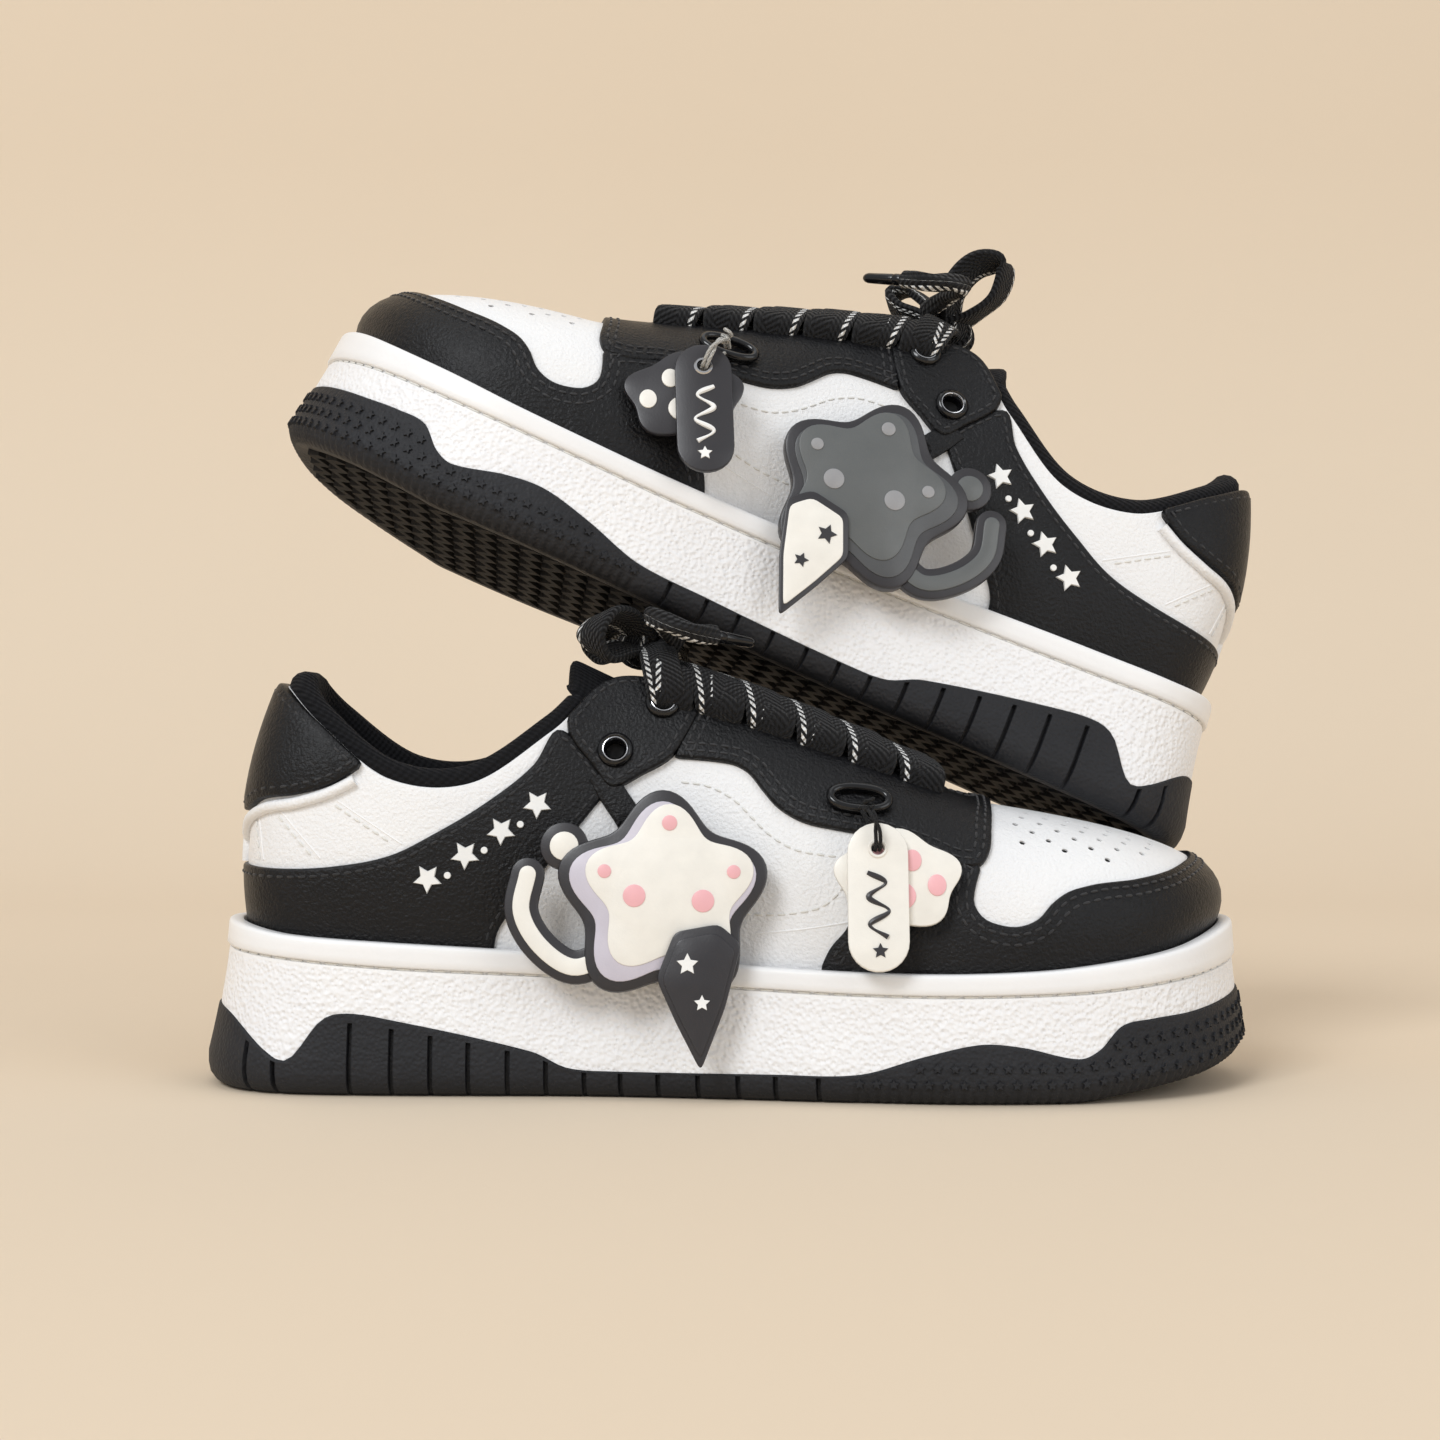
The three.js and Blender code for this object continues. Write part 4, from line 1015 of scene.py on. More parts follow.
def across_sole(rings, n):
    """Quads that close the last ring by joining its lateral points to its medial ones."""
    last = (rings - 1) * n
    faces = []
    for k in range(n // 2):
        near, far = (n - k) % n, n - k - 1
        if near == k:
            faces.append((last + k, last + k + 1, last + far))
        elif far == k + 1:
            faces.append((last + k, last + k + 1, last + near))
        else:
            faces.append((last + k, last + k + 1, last + far, last + near))
    return faces


def outsole(side):
    u, cut, teeth = sole_columns()
    x = on_ring(LIP_RING, u)[:, 0]
    tray, tread = read(TRAY_LINE, x), read(TREAD_LINE, x)
    corner = np.minimum(TREAD_CORNER, tray - tread - 1.5)
    foot = wall(u, tread + corner)
    rings = [
        ring_at(u, wall(u, tray) - OUTSOLE_WALL, tread + OUTSOLE_FLOOR),
        ring_at(u, wall(u, tray) - OUTSOLE_WALL, tray - 0.3),
        ring_at(u, wall(u, tray) + 0.1, tray + 0.15),
        ring_at(u, wall(u, tray) + 0.55, tray - 0.1),
    ]
    for share in (0.94, 0.87, 0.82, 0.6, 0.4, 0.2, 0.05):
        z = tread + corner + (tray - tread - corner) * share
        groove = SIPE_DEPTH * cut * (share < 0.85)
        rings.append(ring_at(u, wall(u, z) + 0.6 - groove, z))
    for angle in (0, 25, 50, 75, 90):
        a = math.radians(angle)
        out = foot + (0.6 - SIPE_DEPTH * cut) * math.cos(a) - corner * 0.8 * (1 - math.cos(a))
        bite = 0.8 * teeth * math.sin(math.radians(min(2 * angle, 180)))
        rings.append(ring_at(u, out - bite, tread + corner * (1 - math.sin(a))))
    inner = foot - corner * 0.8
    rings.append(ring_at(u, inner - 3.0, tread))
    rings.append(ring_at(u, inner - 3.4, tread + TREAD_DEPTH))
    rings = [ring[::-1] for ring in rings]
    shape = loft(rings)
    walls = len(shape.faces)
    shape.faces += across_sole(len(rings), len(u))
    # The bottom's faces take the darker tread rubber, which is painted shade under the shoe.
    shape.looks = [0] * walls + [1] * (len(shape.faces) - walls)
    put(side, "outsole_rubber", shape, ["black rubber", "tread rubber"], nodes=["outsole"],
        slot="rubber_black", sharp=30)


def tread_bars(side):
    """Zigzag bars across the tread."""
    us = np.linspace(0, TOE, 400)
    low = plan(us, wall(us, 5.0) - 8.0)
    high = plan(TURNS - us, wall(TURNS - us, 5.0) - 8.0)
    order = np.argsort(low[:, 0])
    shapes = []
    for x in np.arange(-124, 124, 6.5):
        y0 = np.interp(x, low[order, 0], low[order, 1])
        y1 = np.interp(x, high[order, 0], high[order, 1])
        if y1 - y0 < 12:
            continue
        ys = np.linspace(y0, y1, max(4, 2 * round((y1 - y0) / 11) + 1))
        zig = np.where(np.arange(len(ys)) % 2 == 0, -1.8, 1.8)
        z = float(read(TREAD_LINE, x))
        rings = []
        bar = ((1.9, 1.5), (1.5, 0), (-1.5, 0), (-1.9, 1.5))
        for y, dx in zip(ys, zig):
            rings.append([(x + dx + a, y, z + b) for a, b in bar])
        shapes.append(loft(rings, capped=True))
    # The bars are in the darker tread rubber, which is painted shade under the shoe.
    put(side, "tread_bars", joined(shapes), "tread rubber", slot="rubber_black")


def wall_stars(side):
    """Rows of small raised stars on the forefoot's wall."""
    us = np.linspace(0, TOE, 2601)
    centres, normals, ups = [], [], []
    for u_line in (us, TURNS - us):
        p = on_ring(LIP_RING, u_line)
        s = run_length(p)
        first = np.interp(FIRST_STAR_X, p[:, 0], s)
        for row in range(4):
            at = np.arange(first + 2.1 * (row % 2), s[-1], 4.2)
            u = np.interp(at, s, u_line)
            x = on_ring(LIP_RING, u)[:, 0]
            z = read(TREAD_LINE, x) + 5.2 + 3.9 * row
            keep = z < read(TRAY_LINE, x) - 1.8
            u, z = u[keep], z[keep]
            if not len(u):
                continue
            foot, head = (ring_at(u, wall(u, z + h) + 0.6, z + h) for h in (-1, 1))
            up = unit(head - foot)
            centres.append((foot + head) / 2)
            ups.append(up)
            out = outward(u)
            normals.append(unit(out - up * dot(out, up)))
    centres, normals, ups = (np.concatenate(v) for v in (centres, normals, ups))
    stars = scatter(star_shape(1.45, 0.55), centres, np.cross(ups, normals), ups, normals)
    put(side, "outsole_stars", stars, "black rubber", slot="rubber_black")


def cupsole(side):
    u, _, _ = sole_columns()
    x = on_ring(LIP_RING, u)[:, 0]
    tray, lip, band = read(TRAY_LINE, x), read(LIP_LINE, x), read(BAND_LINE, x)
    floor = read(FLOOR_LINE, x)
    rings = [
        ring_at(u, wall(u, tray) - OUTSOLE_WALL - CLEARANCE, tray - 1.5),
        ring_at(u, wall(u, tray) - OUTSOLE_WALL - CLEARANCE, tray + 0.3),
        ring_at(u, wall(u, tray), tray + 0.25),
    ]
    for share in (0.12, 0.3, 0.5, 0.7, 0.9, 0.97):
        z = tray + 0.3 + (band - tray - 0.8) * share
        rings.append(ring_at(u, wall(u, z) + 0.15, z))
    pebbled = range(2, len(rings) - 1)
    for rise, out in ((-0.45, 0.1), (-0.25, -0.75), (0.25, -0.75), (0.4, 0.5), (0.9, 0.85)):
        rings.append(ring_at(u, wall(u, band) + out, band + rise))
    for share in (0.35, 0.7):
        z = band + 0.9 + (lip - band - 1.9) * share
        rings.append(ring_at(u, wall(u, z) + 0.9, z))
    lip_profile = [(1.0, 0.85), (0.35, 0.6), (0.05, 0.1), (0, -0.6)]
    for drop, out in (*lip_profile, (0, -CUP_WALL + 0.4), (0.4, -CUP_WALL)):
        rings.append(ring_at(u, out, lip - drop))
    rings.append(ring_at(u, -CUP_WALL, floor))
    shape = loft(rings)
    shape.looks = [1 if face // len(u) in pebbled else 0 for face in range(len(shape.faces))]
    put(side, "cupsole_rubber", shape, ["smooth white", "pebbled white"], nodes=["cupsole"],
        slot="rubber_white", sharp=50)

    line = np.linspace(0, TURNS, 3001)
    z = read(BAND_LINE, on_ring(LIP_RING, line)[:, 0])
    p = ring_at(line, wall(line, z) - 0.45, z)
    s = run_length(p)
    at = np.arange(0, s[-1], 4.6)
    centres = np.stack([np.interp(at, s, p[:, k]) for k in range(3)], 1)
    ahead = np.stack([np.interp(at + 0.5, s, p[:, k]) for k in range(3)], 1)
    along = unit(ahead - centres)
    out = outward(np.interp(at, s, line))
    rod = round_rod(3.6, 0.42)
    shape = scatter(rod, centres, along, np.cross(out, along), out)
    put(side, "cupsole_stitches", shape, "white thread", slot="rubber_white")


def footbed(side):
    """The sockliner, dished a little, and the lining that stands round it."""
    us = np.linspace(0, TOE, 90)
    rows = []
    for share in np.linspace(0, 1, 15):
        left = plan(us, np.full(len(us), -UPPER_INSET - 1.5))
        right = plan(TURNS - us, np.full(len(us), -UPPER_INSET - 1.5))
        p = left * (1 - share) + right * share
        dish = 2.5 * abs(2 * share - 1) ** 3
        p[:, 2] = read(FLOOR_LINE, p[:, 0]) + 6.1 + dish
        rows.append(p)
    top = loft(rows, closed_ring=False)
    put(side, "sockliner_top", top, "knit", nodes=["sockliner"], slot="textile_black")
    u, t = np.meshgrid(np.linspace(0, TURNS, 157), np.linspace(-0.9, 0.97, 24))
    lining = loft(on_upper(u, t, -2.8)[::-1], closed_ring=False)
    put(side, "lining", lining, "knit", slot="textile_black")


# ---- Upper ----

TOE_GUARD_EDGE = [
    [(22.8, 33), (25, 37.5), (28.9, 42.1), (31.4, 50), (32.8, 60), (33.4, 66.5)],
    [(33.4, 66.5), (45, 63.4), (57, 59.4), (62.3, 56.6)],
    [(62.3, 56.6), (60.8, 52.5), (60.2, 48.4), (62.4, 45), (66.5, 43.3), (71.2, 42.9), (76, 44.7),
     (79.5, 48.2), (83.4, 50.6), (88.3, 51.8), (101.7, 53.1), (110.7, 54.5), (116.5, 56)],
]
FOXING_FRONT = [(-60.3, 34), (-59.4, 40), (-52.8, 49.3), (-30.4, 77.2)]
FOXING_TOP = [
    (-41.2, 90), (-43.6, 91.4), (-50.1, 82.8), (-62.6, 72.8), (-75.2, 65.3), (-85.1, 60.3), (-100.8, 57.1),
    (-114.8, 56.4), (-125, 56.8),
]
EYESTAY_REAR = [(-9.6, 95.5), (-12.2, 89.6), (-14.4, 83.9)]
EYESTAY_LOW = [
    (-14.4, 83.9), (-9, 83.5), (-3.6, 82.9), (1, 82), (4.2, 80.2), (7.6, 76.2), (11.2, 72), (16.8, 68.4),
    (27.4, 65.7), (34.4, 64.4), (47, 60.6), (57.5, 56.7), (62, 56.8), (64.6, 60), (65.4, 64.5),
]
TAB_EDGE = [
    (-42.2, 93.6), (-41.8, 90.4), (-40.2, 87.6), (-35.6, 82.3), (-30.6, 76.6), (-22, 80), (-14.8, 84.2),
    (-11, 90), (-7.9, 96.3),
]
HEEL_TAB_EDGE = [
    (-128, 65.8), (-124.6, 69.5), (-120.1, 73.1), (-110, 75), (-100.8, 77.7), (-94.5, 81.5),
]
HEEL_TAB_FRONT = [(-94.5, 81.5), (-94, 82.6), (-101.6, 92.2), (-105.2, 96.8)]
VAMP_REAR = [(48, 31), (53, 38), (56, 44), (57.6, 52), (56, 60), (53.5, 66.5)]
EYELETS = {"upper": (-17.8, 97), "lower": (-29.5, 85.6)}


BELOW_LIP = -0.4


def medial(loop):
    return loop * [-1, 1] + [TURNS, 0]


def across_toe(edge):
    """A closed loop from a lateral edge line and its mirror on the medial side, down to the cup."""
    back = medial(edge)[::-1]
    return np.concatenate([edge, back[1:], [[back[-1, 0], BELOW_LIP], [edge[0, 0], BELOW_LIP]]])


def across_heel(edge):
    """The same round the heel, where the medial side has u below 0."""
    return np.concatenate([edge, (edge * [-1, 1])[::-1][1:]])


def run_of(a, b, count=24):
    return np.linspace(a, b, count)


def corner_line(pieces):
    return np.concatenate([side_line(piece) for piece in pieces])


def axes_on(u, t):
    """Axes for a thing that stands on the upper, the last one outward."""
    across, _, normal = spread(u, t)
    ex = unit(across)
    return ex, np.cross(normal, ex), normal


def sewn(side, name, loop, top, rows, lift=0.05, **settings):
    """A black leather piece with rows of stitches in from its edge."""
    put(side, f"{name}_leather", panel(loop, top, **settings), "black leather", nodes=[name],
        slot="leather_black", sharp=60)
    lines = [edge_stitches(loop, distance, top + lift) for distance in rows]
    put(side, f"{name}_stitches", joined(lines), "black thread", slot="leather_black")


def vamp_holes():
    """The vamp's fan of small perforations, kept clear of the toe guard."""
    guard = np.array(TOE_GUARD_EDGE[2][4:]).T
    places = []
    for row, x in enumerate(np.arange(73, 112, 5.4)):
        for k in range(-6, 7):
            y = (k + 0.5 * (row % 2)) * 5.4
            places.append((x - 0.010 * y * y, y + 3.5 * (x - 50) / 80))
    found = from_top(places)
    p = upper(*found.T)
    clear = (p[:, 2] > np.interp(p[:, 0], *guard) + 4.2) & (p[:, 0] > 71.5) & (p[:, 0] < 112)
    return [(tuple(at), 0.8) for at in found[clear]]


def vamp(side):
    rear = side_line(VAMP_REAR)
    top = rim_at(51.5)
    edge = np.concatenate([rear, [top]])
    upper_run = run_of(top, [TOE, 1.0])
    half = np.concatenate([[[edge[0, 0], BELOW_LIP]], edge, upper_run[1:]])
    loop = np.concatenate([half, medial(half)[::-1][1:]])
    holes = vamp_holes()
    shape = panel(loop, BASE_TOP, low=0, holes=holes, grid=(0.13, 0.04))
    put(side, "vamp_leather", shape, "white leather", nodes=["vamp"], slot="leather_white", sharp=60)
    # A near-black disc sits inside each perforation as painted shade.
    disc = loft(turned_profile([(0.95, 0), (0.3, 0)], 10))
    disc.faces.append(tuple(range(10, 20)))
    spots = np.array([at for at, _ in holes])
    shape = scatter(disc, on_upper(*spots.T, 0.95), *axes_on(*spots.T))
    put(side, "vamp_holes", shape, "hole", slot="leather_white")


def quarters(side):
    rear = side_line(VAMP_REAR)
    foot = np.array([rear[0, 0] - 0.02, BELOW_LIP])
    front = np.concatenate([[foot], rear - [0.02, 0], [rim_at(51)]])
    top = run_of(rim_at(51), [0.0, 1.0], 80)
    bottom = run_of([0.0, BELOW_LIP], foot, 60)
    loop = np.concatenate([front, top[1:], bottom[:-1]])
    for label, shape_loop in (("lateral", loop), ("medial", medial(loop))):
        shape = panel(shape_loop, BASE_TOP, low=0, edge=0.6)
        put(side, f"quarter_{label}_leather", shape, "white leather", nodes=[f"quarter_{label}"],
            slot="leather_white", sharp=60)


def white_seams(side):
    """Stitch lines on the white quarter and heel panel."""
    curve = [
        (-13, 78.2), (-5.1, 76.8), (1.6, 73), (5.6, 69), (8.9, 65.8), (15.4, 61.7), (23.5, 60),
        (30.4, 59.3),
    ]
    low = [(30, 56), (28.4, 52.8), (23.5, 47.9), (15.4, 45.8), (8.1, 45.4), (0, 46)]
    heel = [
        [(-121.6, 68.7), (-119.9, 57.5)], [(-115.3, 69.8), (-104.9, 58.1)], [(-100.9, 72.6), (-84.3, 61.9)],
    ]
    lines = [side_line(line, 1.0) for line in (curve, low, *heel)]
    lines += [medial(path) for path in lines]
    rows = [stitches(path, BASE_TOP + 0.1, radius=0.34) for path in lines]
    put(side, "white_stitches", joined(rows), "white thread", slot="leather_white")
    cuts = []
    for line in ([(5.6, 39.8), (17, 41), (29.2, 43)], *heel):
        path = side_line([np.array(p) + (0.9, 0.9) for p in line], 1.0)
        for run in (path, medial(path)):
            cuts.append(tube(on_upper(*run.T, BASE_TOP - 0.1), 0.28, 6))
    put(side, "white_seams", joined(cuts), "smooth white", slot="leather_white")


def toe_guard(side):
    edge = corner_line(TOE_GUARD_EDGE)
    end = middle_at(TOE, 120.5)
    edge = np.concatenate([edge, run_of(edge[-1], end, 8)[1:]])
    sewn(side, "toe_guard", across_toe(edge), OVERLAY_TOP, (2.0, 4.2))


def foxing(side):
    front, top = side_line(FOXING_FRONT), side_line(FOXING_TOP)
    end = np.array([0.0, top[-1, 1]])
    edge = np.concatenate([[[front[0, 0], BELOW_LIP]], front, top, run_of(top[-1], end, 8)[1:]])
    sewn(side, "foxing", across_heel(edge), OVERLAY_TOP, (2.0,))

    centres = [(-76.6, 54.2), (-67.2, 60), (-58.2, 66), (-49.2, 72.6)]
    dots = [(-71.6, 55), (-62.4, 61.2), (-53.4, 67.6)]
    shapes = []
    for places, template in ((centres, star_shape(4.0, 0.5, 0.5)), (dots, disc_shape(0.9, 0.45))):
        at = from_side(places)
        normal = spread(*at.T)[2]
        slope = unit(np.array([0.83, 0, 0.56]))
        ex = unit(slope - normal * dot(np.tile(slope, (len(at), 1)), normal))
        base = on_upper(*at.T, OVERLAY_TOP + 0.1)
        shapes.append(scatter(template, base, ex, np.cross(normal, ex), normal))
    put(side, "foxing_marks", joined(shapes), "mark", slot="leather_black")


def disc_shape(radius, depth, count=16):
    """A low round button standing along z."""
    angle = round_angles(count)
    ring = np.stack([np.cos(angle), np.sin(angle), 0 * angle], 1)
    rings = [ring * radius + [0, 0, -0.3], ring * radius + [0, 0, depth * 0.6],
             ring * radius * 0.85 + [0, 0, depth]]
    shape = loft(rings)
    shape.faces.append(tuple(range(2 * count, 3 * count)))
    return shape


def eyestay(side):
    rear, low = side_line(EYESTAY_REAR), side_line(EYESTAY_LOW)
    start = rim_at(-7.5)
    corner = upper(*low[-1])
    share = np.linspace(0, 1, 12)[1:, None]
    front = from_top(corner[:2] * (1 - share) + np.array([68.5, 0.0]) * share)
    edge = np.concatenate([[start], rear, low, front[:-1], [[TOE, front[-1, 1]]]])
    back = medial(edge)[::-1][1:]
    top = run_of(medial(start), start, 160)
    loop = np.concatenate([edge, back, top[1:-1]])
    sewn(side, "eyestay", loop, EYESTAY_TOP, (2.0, 4.0), edge=0.9)


def eyelet_tabs(side):
    line = side_line(TAB_EDGE)
    start, end = rim_at(-42), rim_at(-9)
    loop = np.concatenate([[start], line, run_of(end, start, 24)[:-1]])
    spots = {level: from_side([at])[0] for level, at in EYELETS.items()}
    for label, turn in (("lateral", lambda v: v), ("medial", medial)):
        holes = [(tuple(turn(at)), 2.9) for at in spots.values()]
        sewn(side, f"eyelet_tab_{label}", turn(loop), TAB_TOP, (2.0,), holes=holes, grid=(0.1, 0.03))
        for level, at in spots.items():
            eyelet(side, f"eyelet_{level}_{label}", *turn(at))


def turned_profile(profile, count=28):
    """Rings turned about z from (radius, height) points."""
    angle = round_angles(count)
    return [np.stack([r * np.cos(angle), r * np.sin(angle), np.full(count, h)], 1) for r, h in profile]


def eyelet(side, name, u, t):
    flange = loft(turned_profile([(4.6, -0.2), (4.6, 0.5), (4.2, 1.1), (3.7, 1.35), (3.2, 1.0)]))
    barrel = loft(turned_profile([(2.85, 0.9), (2.4, 0.4), (2.2, -0.6), (2.2, -2.3)]))
    rim = loft(turned_profile([(3.3, 0.9), (3.2, 1.25), (3.0, 1.3), (2.8, 1.05), (2.75, 0.7)]))
    # The near-black floor across the eyelet's bore is painted shade.
    floor = loft(turned_profile([(2.3, -2.1), (0.5, -2.1)]))
    floor.faces.append(tuple(range(28, 56)))
    for part, shape, look, nodes in (
        ("flange", joined([flange, barrel]), "gloss", [name]),
        ("rim", rim, "silver", []),
        ("hole", floor, "hole", []),
    ):
        shape = scatter(shape, on_upper(u, t, TAB_TOP), *axes_on(u, t))
        put(side, f"{name}_{part}", shape, look, nodes=nodes, slot="eyelet")


def heel_tab(side):
    low, front = side_line(HEEL_TAB_EDGE), side_line(HEEL_TAB_FRONT)
    low = low[low[:, 0] > 0.3]
    top = rim_at(-106.4)
    start = np.array([0.0, low[0, 1]])
    across_top = run_of(top, [0.0, 1.0], 16)
    half = np.concatenate([run_of(start, low[0], 6), low[1:], front[1:], across_top])
    sewn(side, "heel_tab", across_heel(half)[:-1], TAB_TOP, (2.0,), lift=0.2, puff=0.8)
    under = side_line([
        (-95.5, 78.6), (-101.5, 75.6), (-110, 72.9), (-119, 71), (-124, 67.6), (-126, 62.5), (-126.8, 57),
    ])
    pipes = [tube(on_upper(*run.T, 2.1), 1.5, 12) for run in (under, under * [-1, 1])]
    put(side, "heel_piping", joined(pipes), "white leather", slot="leather_white")


def collar(side):
    """The padded roll of lining round the ankle."""
    section = [
        (-0.5, 0.70), (0.0, 0.86), (0.1, 0.95), (0.5, 0.985), (0.9, 1.01), (0.9, 1.038), (0.1, 1.064),
        (-1.4, 1.083), (-3.3, 1.09), (-5.2, 1.08), (-6.6, 1.05), (-7.5, 1.0), (-7.9, 0.94), (-7.6, 0.86),
        (-6.6, 0.76), (-5.0, 0.69), (-3.0, 0.66), (-1.4, 0.66),
    ]
    us = np.concatenate([[-5.62, -5.6, -5.5], np.linspace(-5.35, 5.35, 120), [5.5, 5.6, 5.62]])
    close = np.concatenate([[0.05, 0.4, 0.8], np.ones(120), [0.8, 0.4, 0.05]])
    middle = np.mean(section, axis=0)
    rings = []
    for u, size in zip(us, close):
        at = (middle + (np.array(section) - middle) * size)[::-1]
        rings.append(on_upper(np.full(len(at), u), at[:, 1], at[:, 0]))
    shape = loft(rings, capped=True)
    piece = put(side, "collar_padding", shape, "knit", nodes=["collar"], slot="textile_black", sharp=70)


def tongue(side):
    rows = smooth_path(TONGUE_SECTIONS, 3.0)
    angle = round_angles(36)
    s, lift = np.cos(angle), np.sin(angle)
    rings = []
    for x, z, half, thick in rows:
        deep = thick * 8 * (1 - 0.6 * s * s)
        drop = deep / 2 * (1 - np.sign(lift) * np.abs(lift) ** 0.6)
        y = s * half
        rings.append(np.stack([np.full(36, x) - (lift < 0) * 1.0, y, z - 0.028 * y * y - drop], 1))
    end, before = rings[-1], rings[-2]
    for reach, size in ((0.5, 0.93), (0.85, 0.8), (1.05, 0.6)):
        tip = end.mean(0) + (end.mean(0) - before.mean(0)) * reach
        rings.append(tip + (end - end.mean(0)) * size)
    shape = loft(rings, capped=True)
    shape.faces = [face[::-1] for face in shape.faces]
    piece = put(side, "tongue_padding", shape, "knit", body="tongue", nodes=["tongue"],
                slot="textile_black", sharp=70)


# ---- Charms ----

HANG = Matrix.Translation((36, -45, 62))
RING_AT = (32, 72)
TAG_WIDTH, TAG_LENGTH, CHARM_THICKNESS, CHARM_HOLE = 15, 37, 1.8, 1.6
CORD_ROUTE = [(33, -36, 71.4), (35.6, -40.3, 65.5), (36, -43.2, 61.9), (36, -46, 62.2), (36, -48.6, 62.9)]
CORD_RETURN = [
    (36, -48.6, 62.9), (36, -49.9, 64.6), (35.8, -50, 67.5), (35, -48.6, 70.6), (33.6, -44, 72.6),
    (32.6, -39.5, 72.4),
]
CHARM_LEAN = -14
BADGE_AT, BADGE_LEAN = (-17, -43, 50), -9
BADGE_RADIUS, BADGE_THICKNESS = 27, 4
KNOT_RING = np.array([
    (math.cos(a), math.sin(a), 0.25 * a - 0.8) for a in np.linspace(0, 4 * math.pi, 25)
])
TOWARDS_VIEWER = ([[1, 0, 0]], [[0, 0, 1]], [[0, -1, 0]])
CHARM_SLOTS = {"right": "charm_cream", "left": "charm_black"}


def charm_ring(side):
    """The oval ring that the charms hang from."""
    u, t = from_side([RING_AT])[0]
    normal = spread(u, t)[2]
    centre = on_upper(u, t, 4.4)
    turn = Vector((0, 0, 1)).rotation_difference(Vector(normal)).to_matrix()
    ex, ey = (np.array(turn.col[k]) for k in (0, 1))
    angle = np.linspace(0, 2 * math.pi, 49)[:-1]
    c, s = (np.sign(wave) * np.abs(wave) ** 0.85 for wave in (np.cos(angle), np.sin(angle)))
    line = centre + np.outer(7.3 * c, ex) + np.outer(3.3 * s, ey)
    along = unit(np.roll(line, -1, 0) - np.roll(line, 1, 0))
    rod, rings = 1.2, []
    for p, direction in zip(line, along):
        across = np.cross(direction, normal)
        sides = [math.cos(a) * across + math.sin(a) * normal for a in round_angles(12)]
        rings.append([p + rod * way for way in sides])
    put(side, "charm_ring_rod", loft(rings, closed_rows=True), "gloss", nodes=["charm_ring"],
        slot="gloss_black")


def tag_cord(side, look):
    """A doubled cord from the ring through the charms' holes and back over the tag."""
    behind, over = smooth_path(CORD_ROUTE, 0.6), smooth_path(CORD_RETURN, 0.6)
    strands = []
    for path in (behind, over):
        wide = unit(np.cross(np.gradient(path, axis=0), [0, 0.4, 1.0]))
        strands += [tube(path + wide * d, 0.5, 8) for d in (-0.55, 0.55)]
    knot = tube(KNOT_RING * 1.1 + over[2 * len(over) // 3], 0.5, 8)
    put(side, "tag_cord_strands", joined([*strands, knot]), look, nodes=["tag_cord"], slot="cord_white")


def hang_matrix(plumb):
    return HANG @ turned("Y", plumb) @ turned("X", CHARM_LEAN)


def arc_points(x, z, radius, start, end, count=14):
    angle = np.radians(np.linspace(start, end, count))
    return np.stack([x + radius * np.cos(angle), z + radius * np.sin(angle)], 1)


def tag(side, base, mark, plumb):
    r = TAG_WIDTH / 2
    foot = -(TAG_LENGTH - 2 * r) - 1
    outline = np.concatenate([arc_points(0, -1, r, 0, 180), arc_points(0, foot, r, 180, 360)])
    front = -CHARM_THICKNESS / 2
    body = plate(outline, front, -front, 0.4, hole=CHARM_HOLE)
    place = hang_matrix(plumb) @ Matrix.Translation((0, -CHARM_THICKNESS - CLEARANCE, 0))
    slot = CHARM_SLOTS[side]
    put(side, "tag_plate", body.moved(place), base, body="tag", nodes=["tag"], slot=slot)
    wave = [(-2.6, -6), (1.8, -8.5), (-2.4, -12), (2.6, -15.5), (-2.2, -19), (2.2, -22)]
    line = smooth_path([(x, front, z) for x, z in wave], 0.5)
    stroke = tube(line, 0.55 + 0.2 * np.sin(np.arange(len(line)) * 0.35), 8)
    star = star_shape(2.2, 0.25, 0.5)
    print_star = scatter(star, [[0.3, front, -25.4]], *TOWARDS_VIEWER)
    put(side, "tag_print", joined([stroke, print_star]).moved(place), mark, body="tag", slot=slot)
    eye = loft(turned_profile([(2.5, -0.2), (2.5, 0.1), (2.2, 0.4), (1.75, 0.35), (1.65, 0.1)], 20))
    eye = scatter(eye, [[0, front, 0]], *TOWARDS_VIEWER).moved(place)
    put(side, "tag_eye", eye, "silver" if side == "left" else base, body="tag", slot=slot)


def paw(side, base, pads, plumb):
    angle = round_angles(72)
    bump = 1 + 0.09 * np.cos(5 * angle - math.pi / 2)
    outline = np.stack([5 + 15 * bump * np.cos(angle), -7.5 + 12 * bump * np.sin(angle)], 1)
    front = -CHARM_THICKNESS / 2
    place, slot = hang_matrix(plumb), CHARM_SLOTS[side]
    body = plate(outline, front, -front, 0.4, hole=CHARM_HOLE).moved(place)
    put(side, "paw_plate", body, base, body="paw", nodes=["paw"], slot=slot)
    shapes = []
    for x, z, wide, high in ((4.8, -11.5, 4.6, 3.8), (-5, -8.5, 2.3, 2.7), (0.5, -2.2, 2.3, 2.7),
                             (8.6, -2.6, 2.3, 2.7), (14.6, -8.8, 2.3, 2.7)):
        round_pad = np.stack([x + wide * np.cos(angle[::3]), z + high * np.sin(angle[::3])], 1)
        shapes.append(plate(round_pad, front - 0.35, front + 0.2, 0.2))
    put(side, "paw_pads", joined(shapes).moved(place), pads, body="paw", slot=slot)


def lobed_star(scale=1.0, shift=0.0, inset_by=0.0):
    angle = round_angles(100)
    reach = BADGE_RADIUS * (0.88 + 0.12 * np.cos(5 * angle)) - inset_by
    turn = angle + math.pi / 2
    return shift + scale * np.stack([reach * np.cos(turn), reach * np.sin(turn)], 1)


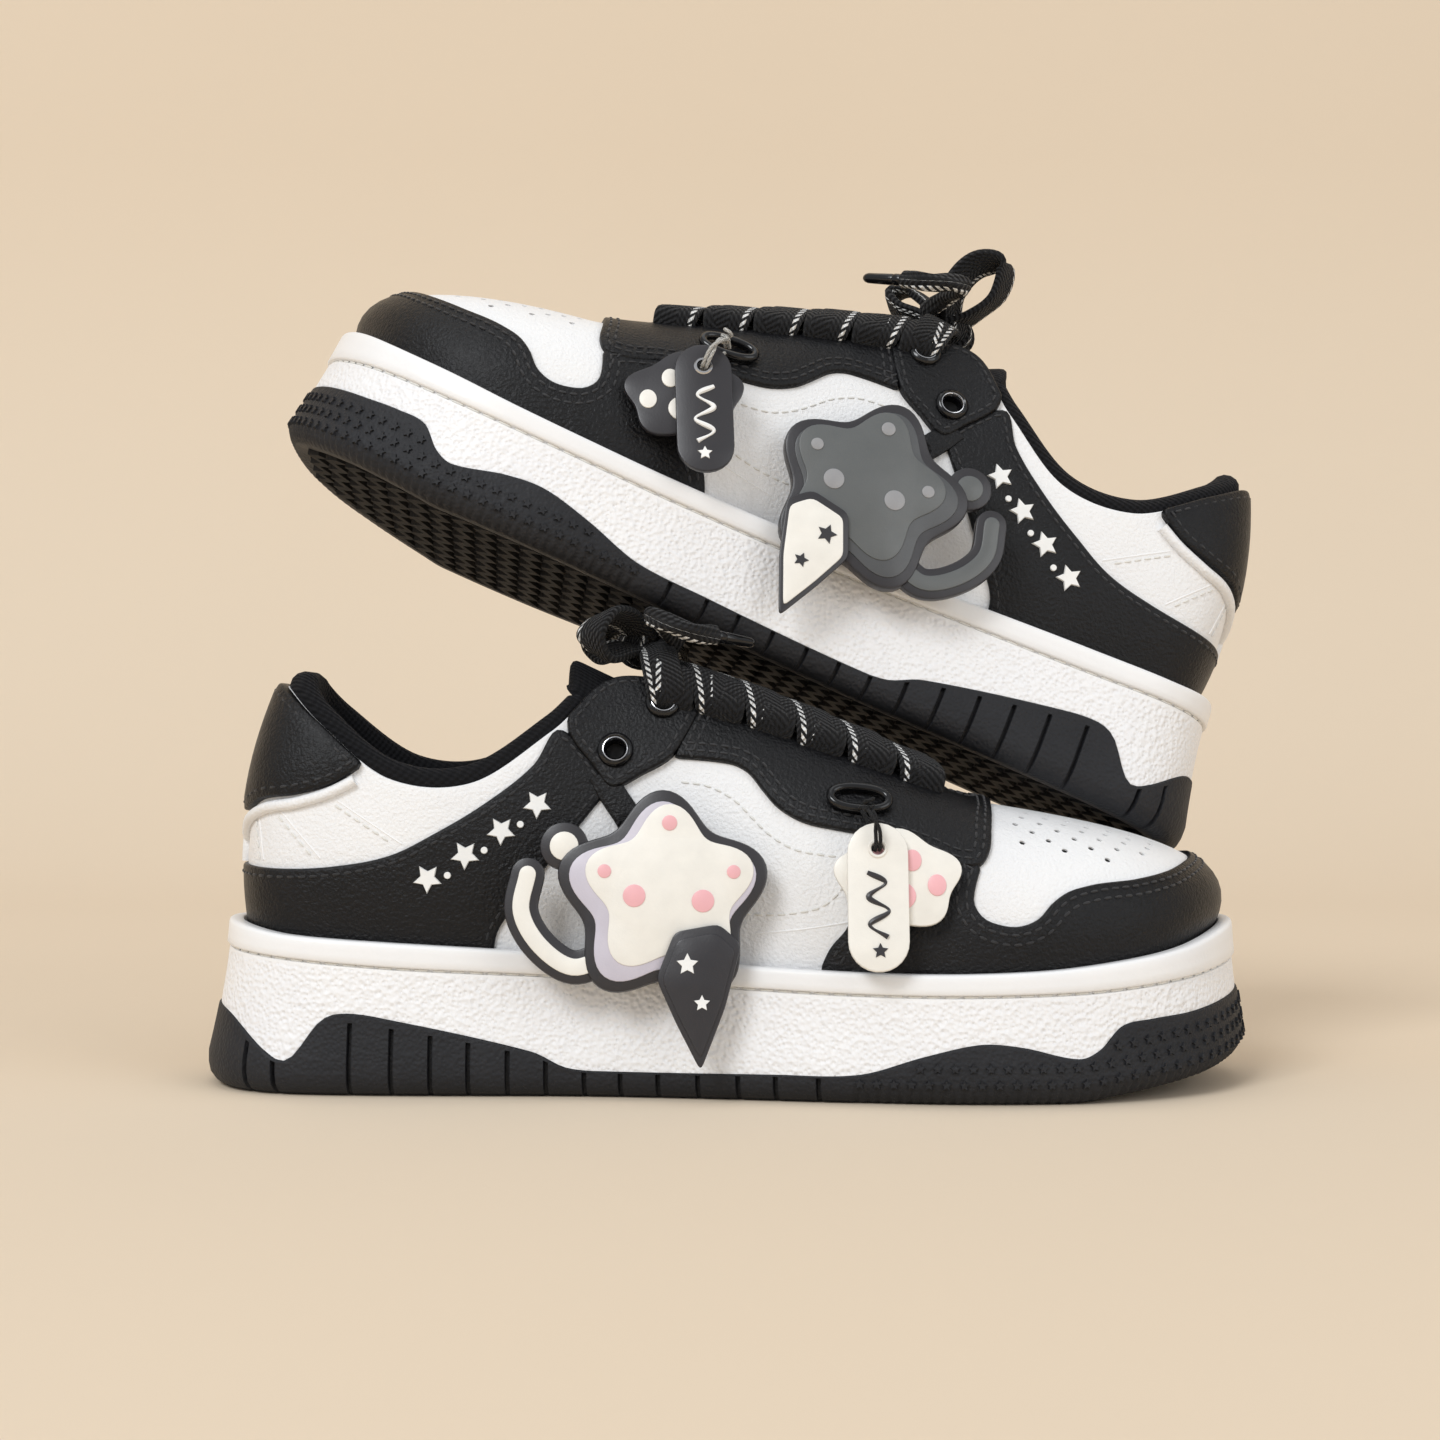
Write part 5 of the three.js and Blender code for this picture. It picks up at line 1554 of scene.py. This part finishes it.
def streamer(line, half):
    """The outline of a band along a flat line, with a round end."""
    along = unit(np.gradient(line, axis=0))
    across = np.stack([-along[:, 1], along[:, 0]], 1)
    turn = math.degrees(math.atan2(across[-1, 1], across[-1, 0]))
    end = arc_points(*line[-1], half, turn, turn - 180, 10)[1:-1]
    return np.concatenate([line + across * half, end, (line - across * half)[::-1]])


def badge(side, fill, band, border, flag, flag_mark, dots):
    place = Matrix.Translation(BADGE_AT) @ turned("X", BADGE_LEAN)
    half = BADGE_THICKNESS / 2
    slot = "badge_cream" if side == "right" else "badge_grey"

    def lay(name, shapes, look, **settings):
        return put(side, name, joined(shapes).moved(place), look, body="badge", slot=slot, **settings)

    post_line = [(-9, half - 0.5, 19), (-9, 10.2, 19)]
    tail_line = smooth_path([(-13, -14), (-22, -17), (-30, -12), (-35, -3), (-33.5, 6)], 1.2)
    tail_out, tail_in = streamer(tail_line, 4.2), streamer(tail_line, 2.1)
    lobe, lobe_in = (arc_points(-24.5, 13, radius, 0, 345, 24) for radius in (6, 3.6))
    lay("badge_border", [
        plate(lobed_star(), -half, half, 0.7),
        plate(tail_out, -half + 0.8, half - 0.6, 0.5),
        plate(lobe, -half + 0.8, half - 0.6, 0.5),
    ], border, nodes=["badge"])
    lay("badge_shade", [plate(lobed_star(inset_by=2.9), -half - 0.35, -half + 0.4, 0.3)], band)
    lay("badge_fill", [
        plate(lobed_star(0.9, 1.7, 2.9), -half - 0.7, -half, 0.3),
        plate(tail_in, -half + 0.4, half - 1, 0.3),
        plate(lobe_in, -half + 0.4, half - 1, 0.3),
    ], fill)
    spots = [(-7, 0.5, 2.8), (10, -0.8, 2.8), (1.7, 18.6, 1.9), (17.6, 6.4, 1.7), (-14.4, 6.6, 1.7)]
    lay("badge_dots", [plate(arc_points(x, z, r, 0, 345, 24), -half - 0.95, -half - 0.5, 0.15)
                       for x, z, r in spots], dots)
    corners = [(3, -8.5), (14, -6.5), (19.5, -11.5), (15.5, -27), (9.5, -42.5), (3.5, -31), (-1.5, -20)]
    outline = resampled(np.array(corners, float), 1.2, on_plane)
    for _ in range(2):
        outline = (np.roll(outline, 1, 0) + 2 * outline + np.roll(outline, -1, 0)) / 4
    middle = outline.mean(0)
    lay("badge_flag_border", [plate(outline, -half - 1.9, -half - 0.75, 0.4)], "dark")
    lay("badge_flag", [plate(middle + (outline - middle) * 0.86, -half - 2.2, -half - 1.5, 0.25)], flag)
    marks = []
    for radius, x, z in ((3.1, 6.2, -16.5), (2.3, 9.8, -26)):
        star = star_shape(radius, 0.3, 0.5)
        marks.append(scatter(star, [[x, -half - 2.15, z]], *TOWARDS_VIEWER))
    lay("badge_flag_marks", marks, flag_mark)
    lay("badge_post", [tube(post_line, 2.6, 16)], "plain braid")


def badge_strap(side):
    """The short strap that comes out from under the eyelet tab and holds the badge."""
    path = side_line([(-33, 80), (-30, 75), (-26.5, 70), (-24, 66)], 1.0)
    normal = spread(*path.T)[2]
    line = on_upper(*path.T, 2.6)
    along = unit(np.gradient(line, axis=0))
    put(side, "badge_strap", ribbon(line, np.cross(normal, along), 7.0, 1.5), "black leather",
        slot="leather_black")


# ---- The pair ----

CHARMS = {
    "right": {"plumb": 0, "cord": "plain braid", "tag": ("cream", "dark"), "paw": ("cream", "pink"),
              "badge": ("cream", "lilac", "dark", "dark", "mark", "pink")},
    "left": {"plumb": TOE_UP, "cord": "white cord", "tag": ("dark", "mark"), "paw": ("dark", "cream"),
             "badge": ("grey", "slate", "dark", "cream", "dark", "mist")},
}

camera_and_light()
for side in SHOES:
    lace_tails(side)
SHOE_PIECES = (
    lace_rows, outsole, tread_bars, wall_stars, cupsole, footbed, quarters, vamp, white_seams,
    toe_guard, foxing, eyestay, eyelet_tabs, heel_tab, collar, tongue, charm_ring,
)
for side, look in CHARMS.items():
    for make in SHOE_PIECES:
        make(side)
    tag_cord(side, look["cord"])
    tag(side, *look["tag"], look["plumb"])
    paw(side, *look["paw"], look["plumb"])
    badge(side, *look["badge"])
    badge_strap(side)
    for name in ("lasting_board", "heel_counter"):
        node_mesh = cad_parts[f"{side}_{name}"].data
        node_mesh.materials.clear()
        node_mesh.materials.append(LOOKS["board"])
